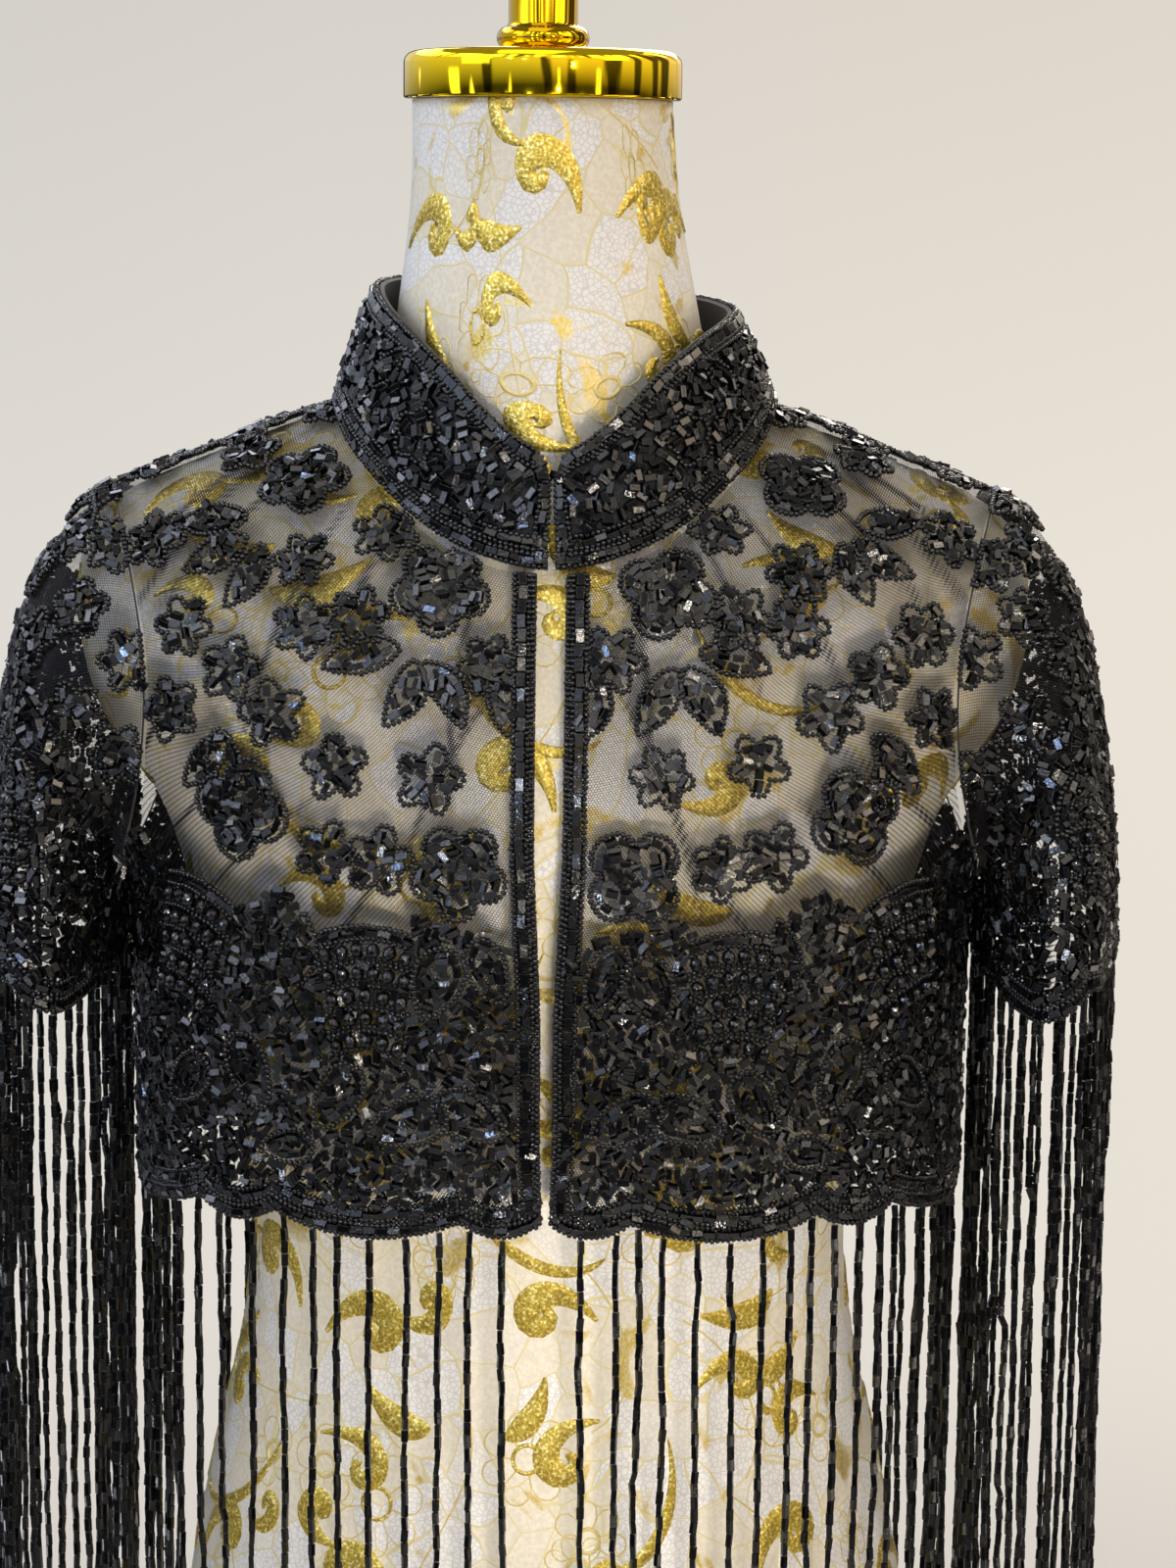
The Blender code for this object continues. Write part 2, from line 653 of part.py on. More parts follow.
def dress_form(fabric, home):
    angles = np.arange(FORM_SEGMENTS) * 2 * math.pi / FORM_SEGMENTS
    rings = np.array([[form_point(drop, angle) for angle in angles] for drop in FORM_DROPS])
    rings[0, :, 2] -= SEAM
    faces = grid_faces(len(rings), FORM_SEGMENTS, True, True)
    last = (len(rings) - 1) * FORM_SEGMENTS
    faces.append(tuple(range(FORM_SEGMENTS)))
    faces.append(tuple(range(last, last + FORM_SEGMENTS))[::-1])
    return mesh_object("form_torso", rings.reshape(-1, 3), faces, fabric, home)


def stand(gold, home):
    top, bottom = NECK_CAP_HEIGHT + CAP_THICKNESS, NECK_CAP_HEIGHT
    rim = arc((CAP_RADIUS - CAP_ROUNDING, top - CAP_ROUNDING), CAP_ROUNDING, 90, 0, 6)
    turned("neck_cap", [(0, top), *rim, (CAP_RADIUS, bottom), (0, bottom)], gold, home, NECK_LEAN)

    foot = top + SEAM
    ring = arc((STEM_RADIUS, foot + RING_ROUNDING), RING_ROUNDING, 80, -80, 6)
    ball = arc((0.0, foot + BALL_CENTRE), BALL_RADIUS, 90, -58, 8)
    ball[0] = (0.0, foot + BALL_CENTRE + BALL_RADIUS)
    stem = [
        (WAIST_RADIUS, foot + STEM_TOP + WAIST_HEIGHT),
        (STEM_RADIUS, foot + STEM_TOP),
        (STEM_RADIUS, foot + 2.2 * RING_ROUNDING),
    ]
    turned("finial", [*ball, *stem, *ring, (STEM_RADIUS, foot), (0, foot)], gold, home, NECK_LEAN)

    form_foot = height(FORM_DROPS[-1])
    pole_foot = BASE_HUB_HEIGHT + SEAM
    pole_top = form_foot - SEAM
    pole = [(0, pole_top), (POLE_RADIUS, pole_top), (POLE_RADIUS, pole_foot), (0, pole_foot)]
    turned("stand_pole", pole, gold, home)

    edge = arc((BASE_RADIUS - BASE_ROUNDING, BASE_THICKNESS - BASE_ROUNDING), BASE_ROUNDING, 90, 0, 5)
    hub = [
        (0, BASE_HUB_HEIGHT),
        (BASE_HUB_RADIUS - BASE_HUB_BEVEL, BASE_HUB_HEIGHT),
        (BASE_HUB_RADIUS, BASE_HUB_HEIGHT - BASE_HUB_BEVEL),
        (BASE_HUB_RADIUS + BASE_HUB_BEVEL, BASE_THICKNESS),
    ]
    turned("stand_base", [*hub, *edge, (BASE_RADIUS, 0), (0, 0)], gold, home)


# ---- the whole object ----------------------------------------------------------------------------

empty_the_scene()
capelet = collection("beaded_fringe_capelet")
black_net = material("black_net", (0.02, 0.02, 0.022), 0.6)
black_beads = material("black_glass_beads", (0.012, 0.012, 0.014), 0.25)
black_cloth = material("black_cloth", (0.012, 0.012, 0.013), 0.7)
black_wire = material("black_enamelled_wire", (0.02, 0.02, 0.02), 0.35, 0.6)
form_cover = material("white_and_gold_lace", (0.83, 0.80, 0.72), 0.5)
gold_plate = material("gold_plate", (0.90, 0.66, 0.14), 0.12, 1.0)

dress_form(form_cover, capelet)
stand(gold_plate, capelet)
fronts(black_net, black_beads, capelet)
back(black_net, black_beads, capelet)
sleeves(black_net, black_beads, capelet)
collar(black_cloth, capelet)
hook_and_eye(black_wire, capelet)
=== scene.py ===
"""A black net capelet with bead embroidery and bead fringe, shown on a lace-covered dress form.

Metres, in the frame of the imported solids: +Z up, +X the wearer's left, -Y the front. Places on the
garment and the form are given as a drop below the underside of the form's neck cap.
"""

import json
import math
from collections import namedtuple

import bmesh
import bpy
import numpy as np
from mathutils import Matrix, Vector
from mathutils.bvhtree import BVHTree

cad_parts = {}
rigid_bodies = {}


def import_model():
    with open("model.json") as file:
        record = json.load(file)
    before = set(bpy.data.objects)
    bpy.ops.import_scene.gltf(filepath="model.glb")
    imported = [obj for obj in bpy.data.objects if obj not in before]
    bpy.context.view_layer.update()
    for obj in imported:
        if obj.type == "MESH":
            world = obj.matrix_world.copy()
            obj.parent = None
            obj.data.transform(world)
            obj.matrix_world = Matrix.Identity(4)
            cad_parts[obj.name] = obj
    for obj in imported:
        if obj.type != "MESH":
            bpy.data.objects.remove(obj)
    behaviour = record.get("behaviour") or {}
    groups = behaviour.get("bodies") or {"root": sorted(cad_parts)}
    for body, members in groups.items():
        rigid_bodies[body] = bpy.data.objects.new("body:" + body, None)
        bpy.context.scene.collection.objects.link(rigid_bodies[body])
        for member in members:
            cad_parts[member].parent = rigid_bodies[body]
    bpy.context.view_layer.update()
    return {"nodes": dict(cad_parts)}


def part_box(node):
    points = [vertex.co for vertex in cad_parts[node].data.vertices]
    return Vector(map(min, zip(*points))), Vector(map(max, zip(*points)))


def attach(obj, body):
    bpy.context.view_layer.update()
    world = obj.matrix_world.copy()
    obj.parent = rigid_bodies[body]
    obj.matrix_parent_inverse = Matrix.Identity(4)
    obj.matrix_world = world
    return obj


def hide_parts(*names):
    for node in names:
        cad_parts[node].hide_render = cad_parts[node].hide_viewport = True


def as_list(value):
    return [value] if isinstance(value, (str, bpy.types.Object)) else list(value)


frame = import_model()

# ---- Camera --------------------------------------------------------------------------------------
# A phone held at about eye level in front of the form, looking a little down on the collar. It takes
# in the form from its finial to its hips, so the fringe's ends and the stand lie below its view.

CAMERA_PLACE = (0.016, -1.53, 0.923)
CAMERA_DIP = 9.7
CAMERA_ROLL = 0.6


def placed(name, data):
    """A new object that shows this data, linked to the scene."""
    made = bpy.data.objects.new(name, data)
    bpy.context.scene.collection.objects.link(made)
    return made


camera = placed("camera", bpy.data.cameras.new("camera"))
camera.data.sensor_fit = "VERTICAL"
camera.data.sensor_height = 36
camera.data.lens = 80.1
camera.location = CAMERA_PLACE
tilt = Matrix.Rotation(math.radians(90 - CAMERA_DIP), 3, "X")
camera.rotation_euler = (tilt @ Matrix.Rotation(math.radians(CAMERA_ROLL), 3, "Z")).to_euler()
bpy.context.scene.camera = camera

# ---- Stand: base, pole, neck cap and finial --------------------------------------------------------
# Turned steel and brass pieces, polished, plated in yellow gold and screwed together on one rod that
# runs up through the form. The plating is bright enough to mirror the room, with faint wiping marks.

# The second gold is the plate's gold painted darker, as painted shade on the finial.
PLATE_HEX, FINIAL_PAINTED_SHADE_HEX = "#FAD31A", "#BC9610"


def linear(hex_colour):
    """The linear colour of an sRGB hex value."""
    channels = [int(hex_colour[i : i + 2], 16) / 255 for i in (1, 3, 5)]
    return (*[c / 12.92 if c <= 0.04045 else ((c + 0.055) / 1.055) ** 2.4 for c in channels], 1.0)


def fill_inputs(tree, node, inputs):
    """Gives a node's inputs their values, or links them from other nodes' outputs."""
    for socket, value in inputs.items():
        if isinstance(value, bpy.types.NodeSocket):
            tree.links.new(value, node.inputs[socket])
        else:
            node.inputs[socket].default_value = value


def add_node(tree, kind, inputs=None, output=0, **settings):
    """Adds a node with its settings and inputs, and gives the output that is used of it."""
    made = tree.nodes.new(kind if "Node" in kind else "ShaderNode" + kind)
    for name, value in settings.items():
        setattr(made, name, value)
    fill_inputs(tree, made, inputs or {})
    return made.outputs[output] if made.outputs else made


def new_material(name, **shader_values):
    """A material with a Principled shader set to these values, as (material, tree, shader)."""
    made = bpy.data.materials.new(name)
    made.use_nodes = True
    shader = made.node_tree.nodes["Principled BSDF"]
    for socket, value in shader_values.items():
        shader.inputs[socket.replace("_", " ")].default_value = value
    return made, made.node_tree, shader


def mesh_piece(name, vertices, faces, finish, smooth=True):
    """An object made of these faces, all of one material."""
    mesh = bpy.data.meshes.new(name)
    mesh.from_pydata([tuple(v) for v in vertices], [], [tuple(f) for f in faces])
    mesh.materials.append(finish)
    if smooth:
        mesh.shade_smooth()
    return placed(name, mesh)


def on_frame(piece, slot, *nodes):
    """The piece rides on the one body and stands for these solids, which are hidden. The slot is not used."""
    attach(piece, "root")
    if nodes:
        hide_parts(*nodes)
    return piece


def lathe(name, profile, finish, centre_x, segments=96):
    """A solid turned round an upright axis, from (radius, height) points down its outer side."""
    vertices, faces, previous = [], [], None
    angles = np.arange(segments) * 2 * math.pi / segments
    for radius, z in profile:
        if radius < 1e-6:
            ring = [len(vertices)] * segments
            vertices.append((centre_x, 0.0, z))
        else:
            ring = list(range(len(vertices), len(vertices) + segments))
            vertices += [(centre_x + radius * math.cos(a), radius * math.sin(a), z) for a in angles]
        if previous:
            for i in range(segments):
                j = (i + 1) % segments
                corners = [previous[i], ring[i], ring[j], previous[j]]
                faces.append(list(dict.fromkeys(corners)))
        previous = ring
    made = mesh_piece(name, vertices, faces, finish)
    made.data.set_sharp_from_angle(angle=math.radians(35))
    return made


def arc(centre, radius, start, end, count):
    """Points round a centre, from one angle to another in degrees."""
    angles = np.radians(np.linspace(start, end, count))
    return [(centre[0] + radius * math.cos(a), centre[1] + radius * math.sin(a)) for a in angles]


# Gold electroplate over polished brass: a saturated yellow mirror, blurred in soft streaks by wiping.
gold_plate, tree, shader = new_material("gold_electroplate", Metallic=1.0, Roughness=0.05)
place = add_node(tree, "TexCoord", output="Object")
smears = add_node(tree, "TexNoise", {"Scale": 45.0, "Detail": 4.0, "Vector": place})
smear_range = add_node(tree, "MapRange", {"To Min": 0.03, "To Max": 0.1, "Value": smears})
ripple = add_node(tree, "TexNoise", {"Scale": 18.0, "Vector": place})
bump = add_node(tree, "Bump", {"Strength": 0.25, "Distance": 0.0004, "Height": ripple})
fill_inputs(
    tree, shader, {"Base Color": linear(PLATE_HEX), "Roughness": smear_range, "Normal": bump}
)

base_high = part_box("stand_base")[1]
BASE_RADIUS, BASE_THICKNESS, BASE_ROUNDING = base_high.x, 0.014, 0.005
HUB_RADIUS, HUB_ROUNDING = 0.030, 0.004
hub_top = base_high.z
base_profile = [
    (0, hub_top),
    *arc((HUB_RADIUS - HUB_ROUNDING, hub_top - HUB_ROUNDING), HUB_ROUNDING, 90, 0, 6),
    *arc((HUB_RADIUS + HUB_ROUNDING, BASE_THICKNESS + HUB_ROUNDING), HUB_ROUNDING, 180, 270, 6),
    *arc((BASE_RADIUS - BASE_ROUNDING, BASE_THICKNESS - BASE_ROUNDING), BASE_ROUNDING, 90, 0, 8),
    (BASE_RADIUS, 0),
    (0, 0),
]
on_frame(lathe("base_plate", base_profile, gold_plate, 0.0), "gold_plate", "stand_base")

pole_low, pole_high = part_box("stand_pole")
pole_profile = [(0, pole_high.z), (pole_high.x, pole_high.z), (pole_high.x, pole_low.z), (0, pole_low.z)]
on_frame(lathe("pole_tube", pole_profile, gold_plate, 0.0, 64), "gold_plate", "stand_pole")

cap_low, cap_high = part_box("neck_cap")
cap_middle, CAP_RADIUS = (cap_low.x + cap_high.x) / 2, (cap_high.x - cap_low.x) / 2
CAP_ROUNDING, CAP_LOWER_ROUNDING = 0.0055, 0.0012
cap_profile = [
    (0, cap_high.z),
    *arc((CAP_RADIUS - CAP_ROUNDING, cap_high.z - CAP_ROUNDING), CAP_ROUNDING, 90, 0, 12),
    *arc(
        (CAP_RADIUS - CAP_LOWER_ROUNDING, cap_low.z + CAP_LOWER_ROUNDING), CAP_LOWER_ROUNDING, 0, -90, 4
    ),
    (0, cap_low.z),
]
on_frame(lathe("neck_cap_disc", cap_profile, gold_plate, cap_middle, 128), "gold_plate", "neck_cap")

finial_low, finial_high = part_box("finial")
foot = finial_low.z
finial_profile = [
    (0, finial_high.z),
    *arc((0, foot + 0.052), 0.018, 84, -58, 16),
    *arc((0.0138, foot + 0.0345), 0.0043, 165, 240, 5),
    *arc((0.0138, foot + 0.0290), 0.0012, 90, 0, 3),
    (0.0150, foot + 0.0115),
    *arc((0.0148, foot + 0.0052), 0.0052, 80, -80, 12),
    (0.0150, foot),
    (0, foot),
]
# The cast finial has the same plate as the cap. Its copy of the gold is painted darker and browner, a painted
# shade for the dimmer reflections on its stem.
finial_shaded_plate = gold_plate.copy()
finial_shaded_plate.name = "gold_electroplate_painted_shade"
finial_shaded_plate.node_tree.nodes["Principled BSDF"].inputs["Base Color"].default_value = linear(FINIAL_PAINTED_SHADE_HEX)
on_frame(lathe("turned_finial", finial_profile, finial_shaded_plate, cap_middle), "gold_plate", "finial")

# ---- Dress form ------------------------------------------------------------------------------------
# A hard shell, thinly padded and covered in ivory satin, with cream corded lace stretched over it and
# sewn at the neck and the foot. The lace's flowers are edged with pale gold cord, and its scrolls are
# darned in gold thread, so both stand up from the satin.

SATIN_HEX, NET_GROUND_HEX, PETAL_HEX = "#EEEEEC", "#D9D6D4", "#EBE5D6"
# The gold thread's darker and paler golds are painted shade and painted glints.
CORD_HEX, GOLD_THREAD_HEX, GOLD_PAINTED_SHADE_HEX, GOLD_PAINTED_GLINT_HEX = "#E0D5A2", "#D2B748", "#A98F36", "#FFF6B0"
PETAL_SHADE_HEX = "#E1DAC7"
COVER_GAP, COVER_ENDS = 0.0004, 0.002
PETAL_CELL = 0.022
NET_CELL = 0.0024
# The colour sockets of a Mix node, whose names its sockets of other kinds also have.
MIX_A, MIX_B, MIX_COLOUR = 6, 7, 2

form = placed("form_cover", frame["nodes"]["form_torso"].data.copy())
form.data.name = "form_cover"
shape = bmesh.new()
shape.from_mesh(form.data)
bmesh.ops.remove_doubles(shape, verts=shape.verts, dist=1e-5)
levels = [vertex.co.z for vertex in shape.verts]
crease = shape.edges.layers.float.new("crease_edge")
for edge in shape.edges:
    heights = {round(vertex.co.z, 5) for vertex in edge.verts}
    flat_faces = [face for face in edge.link_faces if abs(face.normal.z) > 0.98]
    if len(flat_faces) == 1 and heights in ({round(max(levels), 5)}, {round(min(levels), 5)}):
        edge[crease] = 1.0
bmesh.ops.join_triangles(
    shape, faces=shape.faces, angle_face_threshold=1.0, angle_shape_threshold=1.2, cmp_seam=False
)
shape.normal_update()
for vertex in shape.verts:
    if min(levels) + COVER_ENDS < vertex.co.z < max(levels) - COVER_ENDS:
        vertex.co += vertex.normal * COVER_GAP
shape.to_mesh(form.data)
shape.free()
form.data.shade_smooth()
round_off = form.modifiers.new("stretched smooth", "SUBSURF")
round_off.levels = round_off.render_levels = 2


def evaluated(source):
    """The object's mesh with its modifiers applied, left on it with no modifier."""
    graph = bpy.context.evaluated_depsgraph_get()
    result = bpy.data.meshes.new_from_object(source.evaluated_get(graph))
    result.name = source.name
    source.modifiers.clear()
    source.data = result
    return source


class Surface:
    """A cloth or cover that things are laid on, found by nearest place."""

    def __init__(self, points, faces):
        self.tree = BVHTree.FromPolygons([tuple(p) for p in points], [tuple(f) for f in faces])

    def nearest(self, places):
        """(places, outward directions) on the surface nearest to these places."""
        found = [self.tree.find_nearest(tuple(place))[:2] for place in places]
        return np.array([tuple(f[0]) for f in found]), np.array([tuple(f[1]) for f in found])

    def facing(self, x, z, way):
        """The place seen at x and z from the front (way 1) or the back (way -1), or the nearest to it."""
        hit = self.tree.ray_cast((x, -0.6 * way, z), (0, way, 0))[0]
        return np.array(tuple(hit or self.tree.find_nearest((x, -0.08 * way, z))[0]))

    def axes(self, spot):
        """The spot on the surface, and the directions across to the viewer's right, up and outward."""
        place, out = (v[0] for v in self.nearest([spot]))
        across = np.cross((0, 0, 1), out)
        if np.linalg.norm(across) < 0.05:
            across = np.array((1.0, 0, 0))
        across /= np.linalg.norm(across)
        return place, across, np.cross(out, across), out

    def lay(self, flat, spot, turned=0.0):
        """Flat points laid on the surface about a spot, turned by degrees."""
        place, across, up, _ = self.axes(spot)
        c, s = math.cos(math.radians(turned)), math.sin(math.radians(turned))
        flat = np.asarray(flat, float)
        x, y = flat[:, 0] * c - flat[:, 1] * s, flat[:, 0] * s + flat[:, 1] * c
        return self.nearest(place + x[:, None] * across + y[:, None] * up)


# Satin under corded lace: smooth satin shows between the threads, petals are a duller filled cream,
# and thin cords catch light along their tops. The fine net is drawn a little coarser than real.
lace_cover, tree, shader = new_material("satin_under_corded_lace", Roughness=0.45)
place = add_node(tree, "TexCoord", output="Object")
wander = add_node(tree, "TexNoise", {"Scale": 24.0, "Detail": 1.0, "Vector": place}, "Color")
drift = add_node(tree, "VectorMath", {1: (0.03, 0.03, 0.03), 0: wander, 2: place}, operation="MULTIPLY_ADD")
edges = add_node(tree, "TexVoronoi", {"Scale": 1 / PETAL_CELL, "Vector": drift}, feature="DISTANCE_TO_EDGE")
cells = add_node(tree, "TexVoronoi", {"Scale": 1 / PETAL_CELL, "Vector": drift}, "Color", feature="F1")
cord = add_node(
    tree, "MapRange", {"From Min": 0.026, "From Max": 0.01, "Value": edges}, interpolation_type="SMOOTHSTEP"
)
filled = add_node(tree, "MapRange", {"From Min": 0.5, "From Max": 0.56, "Value": cells})
threads = add_node(tree, "TexVoronoi", {"Scale": 1 / NET_CELL, "Vector": place}, feature="DISTANCE_TO_EDGE")
net = add_node(tree, "MapRange", {"From Min": 0.12, "From Max": 0.04, "Value": threads})
ground = add_node(
    tree, "Mix", {MIX_A: linear(SATIN_HEX), MIX_B: linear(NET_GROUND_HEX), 0: net}, MIX_COLOUR,
    data_type="RGBA",
)
weft = add_node(tree, "TexNoise", {"Scale": 520.0, "Detail": 1.0, "Vector": place})
woven = add_node(tree, "MapRange", {"From Min": 0.4, "From Max": 0.62, "Value": weft})
petal = add_node(
    tree, "Mix", {MIX_A: linear(PETAL_SHADE_HEX), MIX_B: linear(PETAL_HEX), 0: woven}, MIX_COLOUR,
    data_type="RGBA",
)
petals = add_node(tree, "Mix", {0: filled, MIX_A: ground, MIX_B: petal}, MIX_COLOUR, data_type="RGBA")
corded = add_node(
    tree, "Mix", {MIX_B: linear(CORD_HEX), 0: cord, MIX_A: petals}, MIX_COLOUR, data_type="RGBA"
)
relief = add_node(tree, "Math", {1: 0.35, 0: net, 2: cord}, operation="MULTIPLY_ADD")
raised = add_node(tree, "Math", {1: 0.4, 0: filled, 2: relief}, operation="MULTIPLY_ADD")
bump = add_node(tree, "Bump", {"Strength": 0.3, "Distance": 0.0005, "Height": raised})
drawn = add_node(tree, "TexNoise", {"Scale": 26.0, "Detail": 2.5, "Distortion": 1.6, "Vector": place})
sparkle = add_node(tree, "TexNoise", {"Scale": 850.0, "Vector": place})
patch = add_node(
    tree, "MapRange", {"From Min": 0.6, "From Max": 0.68, "Value": drawn}, interpolation_type="SMOOTHSTEP"
)
grain = add_node(tree, "MapRange", {"From Min": 0.35, "From Max": 0.6, "To Min": 0.45, "Value": sparkle})
gilt = add_node(tree, "Math", {0: patch, 1: grain}, operation="MULTIPLY")
gilded = add_node(
    tree, "Mix", {MIX_B: linear(GOLD_THREAD_HEX), 0: gilt, MIX_A: corded}, MIX_COLOUR, data_type="RGBA"
)
metal = add_node(tree, "Math", {1: 0.75, 0: gilt}, operation="MULTIPLY")
fill_inputs(
    tree, shader, {"Base Color": gilded, "Metallic": metal, "Normal": bump, "Sheen Weight": 0.15}
)

form.data.materials.clear()
form.data.materials.append(lace_cover)
evaluated(form)
cover = Surface([v.co for v in form.data.vertices], [p.vertices for p in form.data.polygons])
on_frame(form, "form_cover", "form_torso")


def set_stops(ramp_colour, *stops):
    """Gives the ramp behind this colour its stops, as (position, hex colour) in order."""
    elements = ramp_colour.node.color_ramp.elements
    elements[0].position, elements[1].position = stops[0][0], stops[-1][0]
    for at, _ in stops[1:-1]:
        elements.new(at)
    for element, (_, hex_colour) in zip(elements, stops):
        element.color = linear(hex_colour)


# Gold thread: flat metallised yarn. Its glitter is painted into its colour: short bright dashes of painted
# glint and darker dashes of painted shade along the darning.
gold_thread, tree, shader = new_material("metallised_gold_thread", Metallic=0.6, Roughness=0.34)
place = add_node(tree, "TexCoord", output="Object")
dashes = add_node(tree, "TexNoise", {"Scale": 750.0, "Detail": 3.0, "Vector": place})
gold_glint_and_shade_mix = add_node(tree, "ValToRGB", {"Fac": dashes})
set_stops(
    gold_glint_and_shade_mix, (0.42, GOLD_PAINTED_SHADE_HEX), (0.49, GOLD_THREAD_HEX), (0.57, GOLD_THREAD_HEX),
    (0.64, GOLD_PAINTED_GLINT_HEX),
)
bump = add_node(tree, "Bump", {"Strength": 0.8, "Distance": 0.0006, "Height": dashes})
fill_inputs(tree, shader, {"Base Color": gold_glint_and_shade_mix, "Normal": bump})

# Pale gold cord: a twisted rayon cord with one metal thread, duller than the darning.
pale_cord, tree, shader = new_material("pale_gold_rayon_cord", Metallic=0.35, Roughness=0.45)
place = add_node(tree, "TexCoord", output="Object")
twist = add_node(tree, "TexNoise", {"Scale": 700.0, "Vector": place})
cord_mix = add_node(
    tree, "Mix", {MIX_A: linear("#BFA44A"), MIX_B: linear("#EFE3A8"), 0: twist}, MIX_COLOUR,
    data_type="RGBA",
)
fill_inputs(tree, shader, {"Base Color": cord_mix})


# Profiles of raised strokes, as (place across, height), sunk at their edges.
STROKE_PROFILE = ((-1, -0.3), (-0.6, 0.8), (0, 1), (0.6, 0.8), (1, -0.3))
CORD_PROFILE = ((-1, -0.3), (0, 1), (1, -0.3))


def ribbon(store, flat, spot, turned, widths, rise, profile=STROKE_PROFILE):
    """A raised stroke along flat points, laid on the form's cover about a spot."""
    flat = np.asarray(flat, float)
    heading = np.gradient(flat, axis=0)
    heading /= np.linalg.norm(heading, axis=1)[:, None] + 1e-12
    side = np.stack([-heading[:, 1], heading[:, 0]], 1)
    start = sum(len(v) for v in store[0])
    rows = []
    for across, lift in profile:
        points, out = cover.lay(flat + side * (across * np.asarray(widths) / 2)[:, None], spot, turned)
        rows.append(points + out * rise * lift)
    store[0].append(np.stack(rows, 1).reshape(-1, 3))
    wide = len(profile)
    for i in range(len(flat) - 1):
        for j in range(wide - 1):
            a = start + i * wide + j
            store[1].append((a, a + 1, a + wide + 1, a + wide))


def swirl(length, bend, curl, count=22):
    """A line that starts upwards and bends steadily, then curls in at its end (degrees)."""
    s = np.linspace(0, 1, count)
    way = np.radians(90 + bend * s + curl * s**3)
    step = length / (count - 1)
    return np.cumsum(np.stack([np.cos(way), np.sin(way)], 1) * step, axis=0)


def stroke_widths(count, widest):
    """Widths along a darned stroke, from a fine start to a full end."""
    s = np.linspace(0, 1, count)
    return 1.6 * widest * (0.14 + 0.88 * np.sin(np.pi * s**1.4) ** 0.8)


# One spray of the lace: gold scrolls set back to back on a stem, as (x, y, turned, length, bend, curl,
# widest), and round flowers beside them, as (x, y, radius).
SCROLLS = (
    (-0.006, 0.002, 16, 0.062, 60, 330, 0.0092),
    (0.009, -0.002, -18, 0.058, -70, -300, 0.0100),
    (0.018, -0.044, -62, 0.050, -50, -290, 0.0078),
    (-0.020, -0.038, 66, 0.052, 80, 260, 0.0084),
    (0.002, -0.052, 172, 0.075, -60, -50, 0.0042),
    (0.040, 0.020, -100, 0.044, 60, 300, 0.0084),
    (-0.044, 0.026, 120, 0.040, -80, -240, 0.0072),
    (0.034, -0.012, -128, 0.040, 30, 40, 0.0088),
    (-0.036, -0.008, 150, 0.036, -30, -50, 0.0080),
)
FLOWERS = ((-0.058, -0.040, 0.021), (0.056, -0.062, 0.024), (0.062, 0.050, 0.018), (-0.062, 0.056, 0.016))
SPRAY_ROWS = (0.058, 0.170, 0.290, 0.410, 0.530, 0.655)

rng = np.random.default_rng(41)
darning, cords = ([], []), ([], [])
for row, drop in enumerate(SPRAY_ROWS):
    round_there = 4 if drop < 0.1 else 6
    for i in range(round_there):
        angle = 360 / round_there * (i + 0.5 * (row % 2)) + rng.uniform(-7, 7) + 8
        a = math.radians(angle)
        spot = (0.30 * math.sin(a), -0.22 * math.cos(a), 0.96 - drop + rng.uniform(-0.012, 0.012))
        way = Vector((-spot[0], -spot[1], 0)).normalized()
        hit = cover.tree.ray_cast(spot, way)[0]
        if hit is None:
            continue
        leaning, mirror = rng.uniform(-25, 25), rng.choice((-1, 1))
        for x, y, turned, length, bend, curl, widest in SCROLLS:
            if rng.random() < 0.12:
                continue
            line = swirl(length, bend, curl) * (0.95 + 0.25 * rng.random())
            t = math.radians(turned)
            c, s = math.cos(t), math.sin(t)
            line = np.stack([line[:, 0] * c - line[:, 1] * s + x, line[:, 0] * s + line[:, 1] * c + y], 1)
            line[:, 0] *= mirror
            ribbon(darning, line, hit, leaning, stroke_widths(len(line), widest), 0.0009)
        for x, y, radius in FLOWERS:
            lobes = int(rng.integers(5, 8))
            turn = np.linspace(0, 2 * math.pi, lobes * 7 + 1)
            reach = radius * (0.62 + 0.38 * np.abs(np.sin(lobes * turn / 2)) ** 0.6)
            petal_edge = np.stack([mirror * x + reach * np.cos(turn), y + reach * np.sin(turn)], 1)
            ribbon(cords, petal_edge, hit, leaning, np.full(len(turn), 0.0011), 0.0005, CORD_PROFILE)
            turn = np.linspace(0, 2 * math.pi, 15)
            eye = np.stack([mirror * x + 0.3 * radius * np.cos(turn), y + 0.3 * radius * np.sin(turn)], 1)
            store = darning if radius > 0.02 else cords
            ribbon(store, eye, hit, leaning, np.full(15, 0.0022), 0.0007)
            for k in range(lobes):
                b = 2 * math.pi * k / lobes
                spoke = np.linspace(0.34, 0.62, 4)[:, None] * radius * np.array((math.cos(b), math.sin(b)))
                spoke = spoke + (mirror * x, y)
                ribbon(cords, spoke, hit, leaning, np.full(4, 0.0011), 0.0005, CORD_PROFILE)
        for _ in range(2):
            line = swirl(rng.uniform(0.07, 0.10), rng.uniform(-60, 60), rng.uniform(-80, 80), 14)
            start = rng.uniform(-0.05, 0.05, 2)
            ribbon(cords, line + start, hit, rng.uniform(0, 360), np.full(14, 0.0012), 0.0005, CORD_PROFILE)
on_frame(mesh_piece("lace_gold_darning", np.concatenate(darning[0]), darning[1], gold_thread), "form_cover")
on_frame(mesh_piece("lace_cords", np.concatenate(cords[0]), cords[1], pale_cord), "form_cover")

# ---- Body net: two fronts and the back -------------------------------------------------------------
# Soft nylon tulle, one thread thick, cut as two fronts and one back and sewn at the shoulders and under
# the arms. It is pulled tight over the form's shoulders, and drags into fine creases between the beads.

